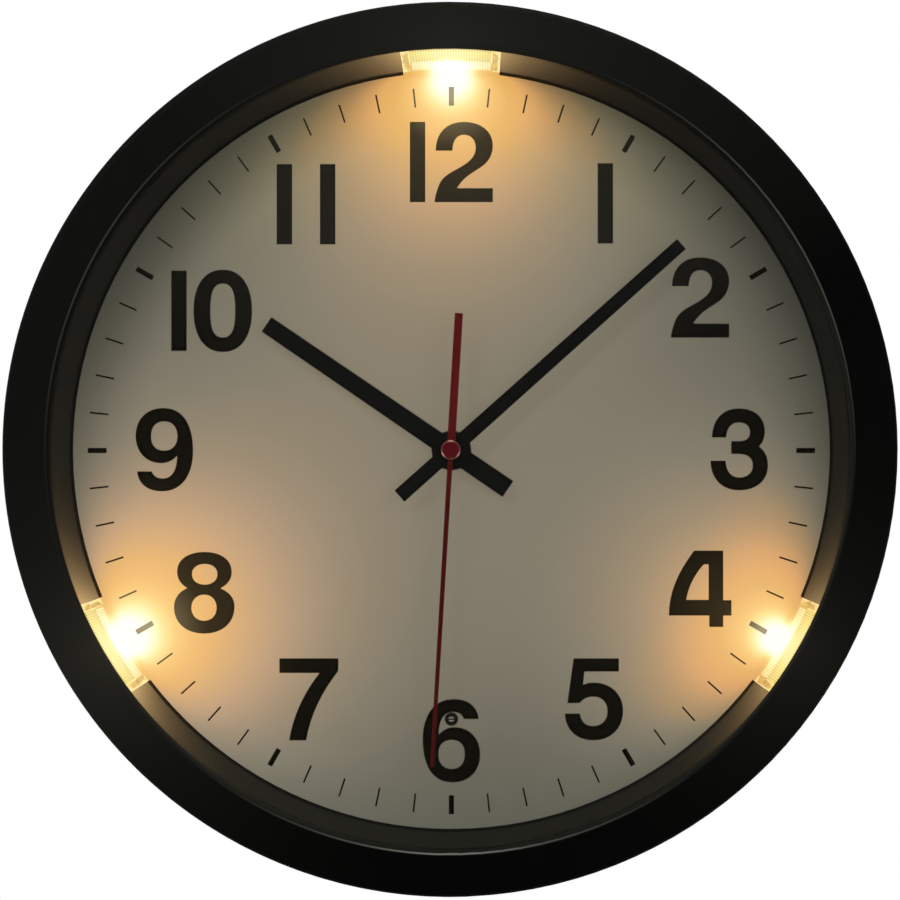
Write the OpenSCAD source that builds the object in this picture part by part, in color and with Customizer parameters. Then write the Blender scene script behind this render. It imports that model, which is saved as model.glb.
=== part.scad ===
// Round wall clock, 12 inch, with three ribbed lamps set in the ring wall round the dial.
// Millimetres. The clock faces -Y and +Z points to 12 o'clock. The origin is the centre of the
// keyhole entry on the back of the rear case; the wall lies back_inset behind it.
// Every piece is drawn lying down round the hand axis: x to the right, y to 12 o'clock, z off the wall.

/* [Case] */
// Outside diameter of the round case
case_d = 305; // [300:1:340]
// Thickness of the front frame
frame_wall = 2.5; // [2:0.1:3]
// Width of the flat front ring
front_ring_w = 16; // [15:0.5:20]
// Rounding of the outer front edge
edge_r = 2.6; // [1.5:0.1:3]
// Rounding of the inner front edge
lip_edge_r = 1.8; // [1:0.1:2]
// Distance from the front face down to the dial
dial_drop = 24; // [22:0.5:30]
// Recess of the rear case behind the rear edge of the frame
back_inset = 1.5; // [1:0.1:3]
// Thickness of the rear case
plate_t = 2.5; // [2.3:0.1:3.5]
// Diameter of a screw boss inside the frame
boss_d = 7; // [6:0.1:8]
// Shank diameter of a case screw
screw_d = 2.9; // [2.5:0.1:3.2]
// Length of a case screw under its head
screw_len = 12; // [9:1:16]

/* [Hanger] */
// Diameter of the keyhole entry for the screw head
keyhole_d = 9; // [8:0.1:10]
// Width of the keyhole slot for the screw shank
keyhole_slot_w = 4.6; // [4:0.1:5]
// Length of the keyhole slot
keyhole_slot_len = 9; // [8:0.5:11]
// Distance of the keyhole entry below the top of the case
keyhole_drop = 42.5; // [42:0.5:55]

/* [Glass and dial] */
// Thickness of the front glass
glass_t = 2; // [1.5:0.1:3]
// Thickness of the dial plate
dial_t = 0.8; // [0.5:0.1:1.2]
// How much narrower the ring wall is at the dial than at the glass
ring_draft = 3.3; // [2:0.1:4]
// Thickness of the ring wall
ring_t = 1.8; // [1.5:0.1:2]
// Thickness of the ink on the dial
ink_t = 0.08; // [0.05:0.01:0.12]
// Gap between the minute marks and the foot of the ring wall
mark_gap = 5.2; // [3:0.1:7]
// Length of a minute mark
mark_len = 6.6; // [5:0.1:8]
// Width of a minute mark
mark_w = 0.6; // [0.4:0.05:1]
// Width of an hour mark
hour_mark_w = 1.8; // [1.2:0.1:2.4]
// Height of a numeral
numeral_h = 28.2; // [22:0.1:30]
// Distance from the ends of the minute marks in to the circle of numeral centres
numeral_gap = 26.8; // [25:0.1:28]

/* [Lamps] */
// Length of a lamp lens along the ring
lens_len = 33.5; // [30:0.5:40]
// Length of the plain block at each end of a lens
lens_end = 2.8; // [2:0.1:4]
// Spacing of the lens ribs
rib_pitch = 0.9; // [0.8:0.05:1.4]
// Depth of the groove between two lens ribs
rib_depth = 0.3; // [0.2:0.05:0.4]
// Height of the light source above the dial
led_h = 7; // [6:0.5:9]
// Thickness of a circuit board
board_t = 1; // [0.8:0.1:1.6]
// Diameter of a lead
wire_d = 1.8; // [1.2:0.1:2]
// Diameter of the light sensor
sensor_d = 4.2; // [4:0.1:5]
// Height of the light sensor above the lowest point of the numeral circle
sensor_rise = 6.6; // [6:0.1:7.2]

/* [Hands] */
// Length of the hour hand from the axis
hour_len = 78; // [60:1:85]
// Width of the hour hand at its tip
hour_w = 6.1; // [4:0.1:7]
// Length of the minute hand from the axis
minute_len = 107.5; // [90:0.5:115]
// Width of the minute hand at its tip
minute_w = 4.6; // [3.5:0.1:6]
// Length of the tails of the hour and minute hands
tail_len = 24; // [18:0.5:28]
// How much wider a hand is at its tail than at its tip
hand_taper = 0.6; // [0:0.1:1]
// Length of the second hand from the axis
second_len = 110; // [95:0.5:118]
// Width of the second hand needle at its tip
second_w = 1.35; // [1:0.05:2]
// Length of the second hand's counterweight
second_tail = 47.5; // [35:0.5:55]
// Width of the second hand's counterweight
second_tail_w = 2.8; // [2:0.1:4]
// Diameter of the second hand's cap
cap_d = 6.8; // [6:0.1:9]
// Diameter of the hub of the hour and minute hands
hub_d = 12.8; // [10:0.1:15]
// Thickness of a hand
hand_t = 0.5; // [0.4:0.05:0.6]
// Clockwise angle of the hour hand at rest
hour_angle = 304.3; // [0:0.1:360]
// Clockwise angle of the minute hand at rest
minute_angle = 48.2; // [0:0.1:360]
// Clockwise angle of the second hand at rest
second_angle = 183.4; // [0:0.1:360]

/* [Movement] */
// Room between a cell end and its contact plate in the movement
bay_room = 1.05; // [0.8:0.05:2]
// Depth of the movement case
movement_depth = 16; // [15.6:0.1:20]
// Wall of the movement case
movement_wall = 1.2; // [1:0.1:1.4]
// Diameter of the threaded bushing
bushing_d = 8; // [7.6:0.1:9]
// Thickness of the rubber gasket behind the dial
gasket_t = 1; // [0.6:0.1:1.5]
// Thickness of the mounting nut
nut_t = 2.2; // [1.8:0.1:2.5]
// Thickness of the washer under the nut
washer_t = 0.5; // [0.3:0.1:0.8]
// Thickness of a wheel
wheel_t = 0.8; // [0.6:0.05:0.9]
// Diameter of an arbor
arbor_d = 0.9; // [0.7:0.05:1]
// Outside diameter of the minute arbor's tube
minute_tube_d = 3.2; // [3:0.05:3.4]
// Outside diameter of the hour wheel's tube
hour_tube_d = 5; // [4.8:0.05:5.4]
// Thickness of the set knob
knob_t = 2.5; // [2:0.1:3.5]
// Diameter of the set knob
knob_d = 11; // [9:0.5:13]

/* [Cells] */
// Diameter of an AA cell
cell_d = 14.3; // [13.8:0.1:14.6]
// Length of an AA cell over its pip
cell_len = 50.5; // [49.5:0.1:50.6]
// Thickness of the battery door
door_t = 1.5; // [1.2:0.1:1.6]
// Wall of the battery box
box_wall = 1.5; // [1.2:0.1:2]
// Travel of the lamp switch
switch_travel = 4; // [3:0.1:5]

/* [Hidden] */
$fn = 64;
round_fn = 180;
eps = 0.05;

// Clearances
run_fit = 0.05;    // radial room of a shaft in its hole
slip_fit = 0.02;   // radial room of a pressed or screwed piece
side_fit = 0.3;    // room beside a dropped in piece
end_play = 0.3;    // room along an axis

// Radial places, from the outside in
case_r = case_d / 2;
frame_ri = case_r - frame_wall;
boss_merge = 0.6;
ring_lip_step = 0.2;
lens_wall_gap = 0.4;
dial_edge_in = 2.2;
support_edge_in = 1.5;
boss_at_r = frame_ri - boss_d / 2 + boss_merge;
boss_count = 6;
head_sink = 1;
lip_r = case_r - front_ring_w;
glass_r = boss_at_r - boss_d / 2 - side_fit;
ring_top_r = lip_r - ring_lip_step;
ring_foot_r = ring_top_r - ring_draft;
ring_flange_r = glass_r;
ring_flange_t = 2;
lens_back_r = ring_top_r + ring_t + lens_wall_gap;
dial_r = ring_flange_r - dial_edge_in;
support_t = 2.5;
support_r = dial_r - support_edge_in - support_t;
plate_r = frame_ri - side_fit;
keyhole_y = case_r - keyhole_drop;
mark_r = ring_foot_r - mark_gap;
numeral_r = mark_r - numeral_gap;
sensor_y = numeral_r - sensor_rise;

// Heights above the wall
plate_z0 = back_inset;
plate_z1 = plate_z0 + plate_t;
cell_room = 0.3;
door_z1 = plate_z0 + door_t;
box_floor_t = 1.2;
box_floor_z = door_z1 + cell_room + cell_d + cell_room;
box_need = box_floor_z + box_floor_t + 0.5;
knob_wall_gap = 0.4;
movement_need = knob_wall_gap + knob_t + end_play + movement_depth + gasket_t;
dial_back_z = max(box_need, movement_need);
dial_z = dial_back_z + dial_t;
front_z = dial_z + dial_drop;
glass_z1 = front_z - frame_wall;
glass_z0 = glass_z1 - glass_t;
movement_zf = dial_back_z - gasket_t;
movement_zb = movement_zf - movement_depth;
movement_zi = movement_zf - movement_wall;
movement_zc = movement_zb + movement_wall;
movement_split_z = movement_zb + movement_depth * 0.45;
knob_z1 = movement_zb - end_play;

// Gear train: teeth, axle distances and directions
pressure = 28;
tooth_top = 0.8;
tooth_foot = 1.1;
backlash = 0.18;
seconds_pinion_n = 8;
third_wheel_n = 60;
third_pinion_n = 8;
centre_wheel_n = 64;
seconds_wheel_n = 50;
fifth_pinion_n = 10;
fifth_wheel_n = 60;
rotor_pinion_n = 10;
cannon_n = 12;
motion_wheel_n = 36;
motion_pinion_n = 10;
hour_wheel_n = 40;
set_pinion_n = 12;
third_a = 10.2;
fifth_a = 10.2;
rotor_a = 8.75;
motion_a = 9.6;
third_dir = 160;
fifth_dir = 65;
rotor_dir = 80;
motion_dir = 0;
set_dir = -20;
third_mod = mesh_mod(third_a, seconds_pinion_n, third_wheel_n);
centre_mod = mesh_mod(third_a, third_pinion_n, centre_wheel_n);
fifth_mod = mesh_mod(fifth_a, seconds_wheel_n, fifth_pinion_n);
rotor_mod = mesh_mod(rotor_a, fifth_wheel_n, rotor_pinion_n);
motion_mod = mesh_mod(motion_a, cannon_n, motion_wheel_n);
hour_mod = mesh_mod(motion_a, motion_pinion_n, hour_wheel_n);
set_a = motion_mod * (motion_wheel_n + set_pinion_n) / 2;
third_at = polar(third_a, third_dir);
fifth_at = polar(fifth_a, fifth_dir);
rotor_at = fifth_at + polar(rotor_a, rotor_dir);
motion_at = polar(motion_a, motion_dir);
set_at = motion_at + polar(set_a, set_dir);
pivot_in = 0.6;
pivot_hole = 0.8;
set_shaft_d = 2;
knob_face = 0.6;
motion_post_d = 1.5;
clutch_seat_d = 2.4;
clutch_flange_d = 3.4;
magnet_d = 6;
magnet_t = 2.6;
rotor_stack = magnet_t + 2.05;
front_play = 0.4;
layer_pitch = (movement_zi - movement_zc - front_play - wheel_t - rotor_stack) / 5;
function layer(k) = movement_zi - front_play - wheel_t - k * layer_pitch;
magnet_z1 = layer(5) - 0.5;
stator_t = 0.8;
stator_z0 = magnet_z1 - magnet_t / 2 - stator_t / 2;
stator_hole_d = magnet_d + 1;
stator_rim = 2.4;

// Motor coil beside the rotor, and the room inside the movement for it and for the cell
contact_t = 0.5;
coil_r = 3.1;
coil_wall_gap = 0.7;
coil_y = rotor_at[1] + stator_hole_d / 2 + coil_r / 2;
bay_wall_t = 1;
bay_train_gap = 0.95;
bay_cell_room = 1.2;
centre_wheel_r = centre_mod * (centre_wheel_n / 2 + tooth_top);
cell_need = cell_len / 2 + contact_t + bay_room;
coil_need = coil_y + coil_r + coil_wall_gap;
bay_need = centre_wheel_r + bay_train_gap + bay_wall_t + cell_d + bay_cell_room;
inner_half = max(cell_need, coil_need, bay_need);
movement_w = 2 * (inner_half + movement_wall);
arm_w = 3;
arm_y = rotor_at[1] - stator_hole_d / 2 - arm_w / 2;
stator_wall_gap = 1.3;
stator_left = -inner_half + stator_wall_gap;
coil_gap = 0.7;
coil_end_gap = 5.1;
coil_x0 = stator_left + arm_w + coil_gap;
coil_x1 = rotor_at[0] - stator_hole_d / 2 - stator_rim - coil_end_gap;

// Lamps stand at 12, 4 and 8 o'clock
lamp_angles = [0, 120, 240];
lens_half = lens_len / 2 / ring_foot_r * 180 / PI;
lens_gap_half = (lens_len / 2 + 0.15) / ring_foot_r * 180 / PI;
lens_mid_z = dial_z + (glass_z0 - dial_z) * 0.48;
rib_count = floor((lens_len - 2 * lens_end) / rib_pitch);
led_w = 5;
led_t = 1.4;
led_tall = 3;
led_board_w = 28;
led_board_y = lens_back_r + lens_wall_gap + led_t;
led_wire_r = (ring_flange_r + frame_ri) / 2;
led_wire_z = dial_z + led_h;
harness_in = 8;
harness_r = support_r - harness_in;
sleeve_d = wire_d + 0.6;
harness_z = plate_z1 + sleeve_d / 2 + 0.1;

// Battery box of the lamps, beside the movement
cell_pitch = cell_d + 0.9;
cell_count = 3;
contact_bump = 1.5;
box_w = cell_len + 2 * (contact_t + contact_bump);
box_h = cell_count * cell_pitch;
movement_gap = 1;
box_top_y = box_h / 2;
box_bottom_y = -box_h / 2;
ledge = 3;
hinge_r = 1.4;
hinge_room = 0.3;
hinge_y = box_bottom_y - ledge;
hinge_z = plate_z0 + hinge_r;
hinge_pin_r = 0.7;
hinge_pin_len = 1.6;
door_w = box_w + 2 * ledge;
rail_end = 2;
box_side_gap = 1.5;
box_x = movement_w / 2 + movement_gap + box_side_gap + door_w / 2 + hinge_pin_len + rail_end;
door_top_y = box_top_y + ledge;
rail_z1 = hinge_z + hinge_r + 1.2;
tongue_w = 12;
tongue_t = 1.2;
tongue_tall = 2.6;
tongue_gap = 0.6;
finger_r = 7;
finger_deep = 0.8;

// Control board behind the sensor
control_w = 24;
control_h = 15;
control_rise = 6;
control_top_y = -sensor_y + control_rise;
control_depth = 3;
control_z1 = dial_back_z - control_depth;
control_z0 = control_z1 - board_t;
control_post_x = 9;
control_post_y = control_top_y - 12;
control_post_d = 4;

// Lamp switch beside the control board, on the side away from the battery box
switch_x = -34;
switch_y = -sensor_y - 3;
switch_w = 13;
switch_h = 6.4;
switch_tall = 6;
stem_w = 3;
stem_h = 2.6;
stem_out = 0.9;
stem_in = 1.7;

// Hands and tubes, from the dial outwards
nut_top_z = dial_z + washer_t + nut_t;
bushing_over = 0.8;
bushing_top_z = nut_top_z + bushing_over;
nut_d = 13;
washer_d = 14;
gasket_d = 22;
collet_h = 1.6;
hand_step = 2.8;
hand_gap = 0.9;
hour_z = bushing_top_z + hand_gap;
minute_z = hour_z + hand_step;
second_z = minute_z + hand_step;
collet_below = 0.5;
cap_h = 1.8;

// Battery bay of the movement
bay_top_room = 0.5;
bay_y = -inner_half + cell_d + bay_cell_room;
movement_cell_y = bay_y - bay_top_room - cell_d / 2;
movement_cell_z = movement_zb + cell_d / 2 + 0.1;
core_h = 2;
core_t = 1;
bay_post = 1.2;

function polar(r, a) = [r * cos(a), r * sin(a)];
function clock_at(r, a) = [r * sin(a), r * cos(a)];
function mesh_mod(a, n1, n2) = 2 * a / (n1 + n2);
function involute(a) = tan(a) - a * PI / 180;

// Half the angle of a tooth at radius r, from its half angle at the pitch radius
function tooth_half(r, rb, half) =
    half + (involute(pressure) - involute(acos(min(1, rb / r)))) * 180 / PI;

// Turn of gear 2 that meshes with gear 1, when gear 2 lies in direction dir from gear 1
function mesh_turn(turn1, n1, n2, dir) = dir + 180 - (turn1 - dir) * n1 / n2 + 180 / n2;

function tooth_points(n, mod) =
    let (rp = n * mod / 2, rb = rp * cos(pressure), ra = rp + tooth_top * mod, rf = rp - tooth_foot * mod)
    let (half = 90 / n - backlash * mod / rp * 45 / PI, rs = max(rb, rf + eps * mod))
    let (radii = [rf, rs, rp, ra])
    let (halves = [for (r = radii) tooth_half(max(r, rb), rb, half)])
    concat([for (i = [0 : 3]) [radii[i], -halves[i]]], [for (i = [3 : -1 : 0]) [radii[i], halves[i]]]);

// Stands a piece up on the wall, with the keyhole entry at the origin
module on_wall() {
    rotate([90, 0, 0]) translate([0, -keyhole_y, -plate_z0]) children();
}

// Turns a piece drawn at 12 o'clock to a clockwise angle
module at_clock(a) {
    rotate([0, 0, -a]) children();
}

module gear(n, mod, turn, z) {
    points = tooth_points(n, mod);
    translate([0, 0, z]) rotate([0, 0, turn]) linear_extrude(wheel_t)
        polygon([for (k = [0 : n - 1]) for (p = points) polar(p[0], p[1] + k * 360 / n)]);
}

module rod(d, z0, z1) {
    translate([0, 0, z0]) cylinder(d = d, h = z1 - z0);
}

// Square with rounded corners, centred
module soft_square(w, h, r) {
    square([w - 2 * r, h], center = true);
    square([w, h - 2 * r], center = true);
    for (x = [-1, 1]) for (y = [-1, 1]) translate([x * (w / 2 - r), y * (h / 2 - r)]) circle(r);
}

module soft_box(w, h, r, z0, z1) {
    translate([0, 0, z0]) linear_extrude(z1 - z0) soft_square(w, h, r);
}

// What a rounding of radius r takes off the corner of a square
module corner_cut(r) {
    difference() {
        square(r + 1);
        circle(r);
    }
}

// Sector of a ring profile, centred on 12 o'clock
module sector(half) {
    rotate([0, 0, 90 - half]) rotate_extrude(angle = 2 * half, $fn = round_fn) children();
}

// Straight lead between two points, with a round end at the second
module lead(a, b, d) {
    v = b - a;
    tilt = acos(v[2] / norm(v));
    translate(a) rotate([0, tilt, atan2(v[1], v[0])]) cylinder(d = d, h = norm(v));
    translate(b) sphere(d = d);
}

module frame_profile() {
    difference() {
        union() {
            translate([frame_ri, 0]) square([frame_wall, front_z]);
            translate([lip_r, front_z - frame_wall]) square([front_ring_w, frame_wall]);
        }
        translate([case_r - edge_r, front_z - edge_r]) corner_cut(edge_r);
        translate([lip_r + lip_edge_r, front_z - lip_edge_r]) mirror([1, 0]) corner_cut(lip_edge_r);
    }
}

module at_bosses() {
    step = 360 / boss_count;
    for (k = [0 : boss_count - 1]) at_clock((k + 0.5) * step) translate([0, boss_at_r, 0]) children();
}

module front_frame() {
    color([0.04, 0.04, 0.04]) on_wall() difference() {
        union() {
            rotate_extrude($fn = round_fn) frame_profile();
            at_bosses() rod(boss_d, plate_z1, glass_z1 + frame_wall / 2);
        }
        at_bosses() rod(screw_d + 2 * slip_fit, plate_z1 - 1, plate_z1 + screw_len);
    }
}

module front_glass() {
    color([0.8, 0.9, 0.9, 0.2]) on_wall() translate([0, 0, glass_z0])
        cylinder(r = glass_r, h = glass_t, $fn = round_fn);
}

module inner_ring() {
    color([0.16, 0.16, 0.14]) on_wall() difference() {
        rotate_extrude($fn = round_fn) polygon([
            [ring_foot_r, dial_z],
            [ring_flange_r, dial_z],
            [ring_flange_r, dial_z + ring_flange_t],
            [ring_foot_r + ring_t + lens_wall_gap, dial_z + ring_flange_t],
            [ring_top_r + ring_t, glass_z0 - ring_flange_t],
            [ring_flange_r, glass_z0 - ring_flange_t],
            [ring_flange_r, glass_z0],
            [ring_top_r, glass_z0]]);
        for (a = lamp_angles) at_clock(a) sector(lens_gap_half)
            translate([ring_foot_r - 2, dial_z - 1])
            square([lens_back_r + slip_fit - ring_foot_r + 2, glass_z0 - dial_z + 2]);
    }
}

// Outline of a lens: an upper band near the glass and a fuller lower band near the dial
lens_inset = 0.3;
lens_band_step = 0.6;
lens_foot_cove = 0.9;
lens_mid_r = (ring_top_r + ring_foot_r) / 2;

module lens_profile() {
    polygon([
        [lens_back_r, dial_z],
        [lens_back_r, glass_z0],
        [ring_top_r + lens_inset, glass_z0],
        [lens_mid_r + lens_inset + lens_band_step, lens_mid_z],
        [lens_mid_r + lens_inset, lens_mid_z],
        [ring_foot_r + lens_foot_cove, dial_z]]);
}

module rib_groove() {
    lean = atan((ring_draft - lens_foot_cove + lens_inset) / (glass_z0 - dial_z));
    translate([0, ring_foot_r + lens_foot_cove, dial_z]) rotate([-lean, 0, 0]) translate([0, 0, -2])
        linear_extrude(glass_z0 - dial_z + 4)
        polygon([[-rib_pitch * 0.4, -1.5], [rib_pitch * 0.4, -1.5], [rib_pitch * 0.4, 0], [0, rib_depth],
            [-rib_pitch * 0.4, 0]]);
}

module end_groove() {
    translate([0, ring_foot_r - 1, dial_z - 1]) linear_extrude(glass_z0 - dial_z + 2)
        translate([-0.3, 0]) square([0.6, lens_back_r - ring_foot_r - 0.6]);
}

module light_lens(a) {
    rib_turn = rib_pitch / ring_foot_r * 180 / PI;
    end_turn = (lens_len / 2 - lens_end) / ring_foot_r * 180 / PI;
    color([1, 0.93, 0.62, 0.8]) on_wall() at_clock(a) difference() {
        sector(lens_half) lens_profile();
        for (k = [0 : rib_count - 1]) at_clock((k - (rib_count - 1) / 2) * rib_turn) rib_groove();
        for (side = [-1, 1]) at_clock(side * end_turn) end_groove();
    }
}

module light_lens_12() {
    light_lens(lamp_angles[0]);
}

module light_lens_4() {
    light_lens(lamp_angles[1]);
}

module light_lens_8() {
    light_lens(lamp_angles[2]);
}

module led_board(a) {
    color([0.9, 0.9, 0.86]) on_wall() at_clock(a)
        translate([-led_board_w / 2, led_board_y, dial_z + ring_flange_t])
        cube([led_board_w, board_t, glass_z0 - dial_z - 2 * ring_flange_t]);
}

module led_board_12() {
    led_board(lamp_angles[0]);
}

module led_board_4() {
    led_board(lamp_angles[1]);
}

module led_board_8() {
    led_board(lamp_angles[2]);
}

module led(a) {
    color([1, 0.85, 0.4]) on_wall() at_clock(a)
        translate([-led_w / 2, led_board_y - led_t, dial_z + led_h - led_tall / 2])
        cube([led_w, led_t, led_tall]);
}

module led_12() {
    led(lamp_angles[0]);
}

module led_4() {
    led(lamp_angles[1]);
}

module led_8() {
    led(lamp_angles[2]);
}

module dial_plate() {
    color([0.83, 0.8, 0.72]) on_wall() difference() {
        translate([0, 0, dial_back_z]) cylinder(r = dial_r, h = dial_t, $fn = round_fn);
        rod(bushing_d + 2 * side_fit, dial_back_z - 1, dial_z + 1);
        translate([0, -sensor_y, 0]) rod(sensor_d + 2 * side_fit, dial_back_z - 1, dial_z + 1);
    }
}

// Numeral outlines, drawn 28.2 high. One point is a straight stretch, three points are a curve.
drawn_h = 28.2;
curve_steps = 8;
bar_w = 5.4;
two_size = [20.5, 28.2];
three_size = [20.3, 28.8];
four_size = [22.1, 26.8];
five_size = [20.5, 28.8];
six_size = [20.2, 29.3];
seven_size = [20.7, 28.8];
eight_size = [21.3, 28.7];
zero_size = [20.6, 29];

function curve_at(p, c, t) =
    pow(1 - t, 3) * p + 3 * pow(1 - t, 2) * t * c[0] + 3 * (1 - t) * t * t * c[1] + pow(t, 3) * c[2];
function stretch(p, s) = len(s) == 1 ? s : [for (i = [1 : curve_steps]) curve_at(p, s, i / curve_steps)];
function outline(p, list, i = 0) =
    i == len(list) ? [] : concat(stretch(p, list[i]), outline(list[i][len(list[i]) - 1], list, i + 1));

module zero_glyph() {
    difference() {
        polygon(outline([10.3, 29], [
            [[17, 29], [20.6, 23.2], [20.6, 14.5]], [[20.6, 5.8], [17, 0], [10.3, 0]],
            [[3.6, 0], [0, 5.8], [0, 14.5]], [[0, 23.2], [3.6, 29], [10.3, 29]]]));
        polygon(outline([10.3, 24.1], [
            [[13.6, 24.1], [14.7, 21], [14.7, 14.6]], [[14.7, 8.2], [13.6, 5.1], [10.3, 5.1]],
            [[7, 5.1], [5.9, 8.2], [5.9, 14.6]], [[5.9, 21], [7, 24.1], [10.3, 24.1]]]));
    }
}

module one_glyph() {
    square([bar_w, drawn_h]);
}

module two_glyph() {
    polygon(outline([0, 0], [
        [[20.5, 0]], [[20.5, 4.9]], [[7.9, 4.9]],
        [[10.2, 9], [13.6, 10.4], [16.6, 12.5]], [[19.3, 14.4], [20.5, 17], [20.5, 19.9]],
        [[20.5, 25], [16.2, 28.2], [10.4, 28.2]], [[4.4, 28.2], [0.5, 24.6], [0.4, 18.1]],
        [[6.3, 18.1]], [[6.3, 21.5], [7.8, 23.7], [10.3, 23.7]],
        [[12.8, 23.7], [14.5, 21.9], [14.5, 19.2]], [[14.5, 16.6], [13, 14.8], [10.6, 13.2]],
        [[6.9, 10.8], [3, 9.6], [1.7, 6.3]], [[0.8, 4.1], [0.2, 2], [0, 0]]]));
}

module three_glyph() {
    polygon(outline([0.6, 18.6], [
        [[5.6, 18.6]], [[5.8, 21.9], [7.4, 23.9], [10, 23.9]],
        [[12.5, 23.9], [14, 22.5], [14, 20.4]], [[14, 18.4], [12.6, 17.3], [10.4, 17.3]],
        [[7.4, 17.3]], [[7.4, 12.8]], [[10.2, 12.8]],
        [[13.2, 12.8], [15, 11.2], [15, 8.7]], [[15, 6.2], [13, 4.5], [10.3, 4.5]],
        [[7.4, 4.5], [5.6, 6.6], [5.4, 10.4]], [[0.1, 10.4]],
        [[0.2, 3.9], [4.2, 0], [10.2, 0]], [[16.2, 0], [20.3, 3.4], [20.3, 8.7]],
        [[20.3, 11.8], [19.1, 14.1], [17.1, 15.4]], [[18.5, 16.7], [19.2, 18.6], [19.2, 20.9]],
        [[19.2, 25.7], [15.6, 28.8], [10.1, 28.8]], [[4.4, 28.8], [0.8, 25], [0.6, 18.6]]]));
}

module four_glyph() {
    difference() {
        polygon(outline([9, 26.8], [
            [[19.2, 26.8]], [[19.2, 9.4]], [[22.1, 9.4]], [[22.1, 4]], [[19.2, 4]], [[19.2, 0]],
            [[14.3, 0]], [[14.3, 4]], [[0.1, 4]], [[0.1, 12], [3.2, 19.2], [9, 26.8]]]));
        polygon(outline([6.2, 9.5], [
            [[14.1, 9.5]], [[14.1, 22]], [[12.4, 22]], [[9.4, 18.8], [7, 14.4], [6.2, 9.5]]]));
    }
}

module five_glyph() {
    polygon(outline([3.1, 28.8], [
        [[19, 28.8]], [[19, 24.2]], [[6.9, 24.2]], [[6.4, 19.4]],
        [[7.4, 20], [8.8, 20.3], [10.2, 20.3]], [[16.2, 20.3], [20.5, 16.2], [20.5, 10.4]],
        [[20.5, 4.2], [16.2, 0], [10, 0]], [[4.2, 0], [0.2, 3.6], [0, 9.4]],
        [[5.3, 9.4]], [[5.6, 6.7], [7.3, 5], [9.8, 5]],
        [[13, 5], [15, 7], [15, 10.2]], [[15, 13.4], [13, 15.4], [10, 15.4]],
        [[8, 15.4], [6.2, 14.5], [5.3, 13.1]], [[0.9, 13.1]], [[3.1, 28.8]]]));
}

module six_glyph() {
    difference() {
        polygon(outline([19.7, 22.3], [
            [[19.2, 26.8], [16, 29.3], [10.8, 29.3]], [[4, 29.3], [0, 23.6], [0, 15.2]],
            [[0, 5.6], [3.6, 0], [10.4, 0]], [[16.4, 0], [20.2, 4], [20.2, 9.8]],
            [[20.2, 15.4], [16.6, 19.4], [11.2, 19.4]], [[9, 19.4], [7, 18.4], [5.6, 16.7]],
            [[5.6, 21.8], [7.4, 24.8], [10.5, 24.8]], [[12.6, 24.8], [14, 23.9], [14.5, 22.3]],
            [[19.7, 22.3]]]));
        polygon(outline([10.2, 15], [
            [[13, 15], [14.8, 13.2], [14.8, 9.9]], [[14.8, 6.6], [13, 4.7], [10.2, 4.7]],
            [[7.4, 4.7], [5.5, 6.6], [5.5, 9.9]], [[5.5, 13.2], [7.4, 15], [10.2, 15]]]));
    }
}

module seven_glyph() {
    polygon(outline([0, 28.8], [
        [[20.7, 28.8]], [[20.7, 24.4]], [[15.4, 17.6], [11, 9.6], [9.4, 0]],
        [[3.4, 0]], [[4.8, 8.6], [8.6, 16.8], [14.1, 23.7]], [[0, 23.7]], [[0, 28.8]]]));
}

module eight_glyph() {
    difference() {
        polygon(outline([10.7, 28.7], [
            [[16.2, 28.7], [20.3, 26.2], [20.3, 21.7]], [[20.3, 19], [18.8, 17.2], [16.3, 15.9]],
            [[19.6, 14.6], [21.3, 12.4], [21.3, 9.4]], [[21.3, 3.8], [17, 0], [10.6, 0]],
            [[4.2, 0], [0, 3.8], [0, 9.2]], [[0, 12.4], [1.8, 14.8], [4.7, 16]],
            [[2.4, 17.3], [1.1, 19.2], [1.1, 21.9]], [[1.1, 26.2], [5.2, 28.7], [10.7, 28.7]]]));
        polygon(outline([10.8, 24.5], [
            [[13.4, 24.5], [15.3, 23.1], [15.3, 20.9]], [[15.3, 18.7], [13.4, 17.2], [10.8, 17.2]],
            [[8.2, 17.2], [6.3, 18.7], [6.3, 20.9]], [[6.3, 23.1], [8.2, 24.5], [10.8, 24.5]]]));
        polygon(outline([10.6, 13.7], [
            [[13.2, 13.7], [15, 11.8], [15, 9.1]], [[15, 6.4], [13.2, 4.5], [10.6, 4.5]],
            [[8, 4.5], [6.1, 6.4], [6.1, 9.1]], [[6.1, 11.8], [8, 13.7], [10.6, 13.7]]]));
    }
}

// One digit with its box centred on x, y
module digit(d) {
    sizes = [zero_size, [bar_w, drawn_h], two_size, three_size, four_size, five_size, six_size,
        seven_size, eight_size, six_size];
    rotate(d == 9 ? 180 : 0) translate(-sizes[d] / 2) {
        if (d == 0) zero_glyph();
        if (d == 1) one_glyph();
        if (d == 2) two_glyph();
        if (d == 3) three_glyph();
        if (d == 4) four_glyph();
        if (d == 5) five_glyph();
        if (d == 6 || d == 9) six_glyph();
        if (d == 7) seven_glyph();
        if (d == 8) eight_glyph();
    }
}

// Hour, digits with their places along the line, and nudge off the numeral circle
numerals = [
    [1, [[1, 0]], [3.6, -0.6]],
    [2, [[2, 0]], [-0.1, 3.3]],
    [3, [[3, 0]], [0.1, 0.4]],
    [4, [[4, 0]], [-0.1, 1.9]],
    [5, [[5, 0]], [-0.4, 0]],
    [6, [[6, 0]], [0, -1]],
    [7, [[7, 0]], [0.4, 0]],
    [8, [[8, 0]], [0.6, 0.5]],
    [9, [[9, 0]], [0.1, 0.3]],
    [10, [[1, -11.5], [0, 3.9]], [3.2, -1.4]],
    [11, [[1, -7.6], [1, 7.6]], [-0.6, -0.9]],
    [12, [[1, -11.9], [2, 4.3]], [0, 0.4]]];

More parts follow.
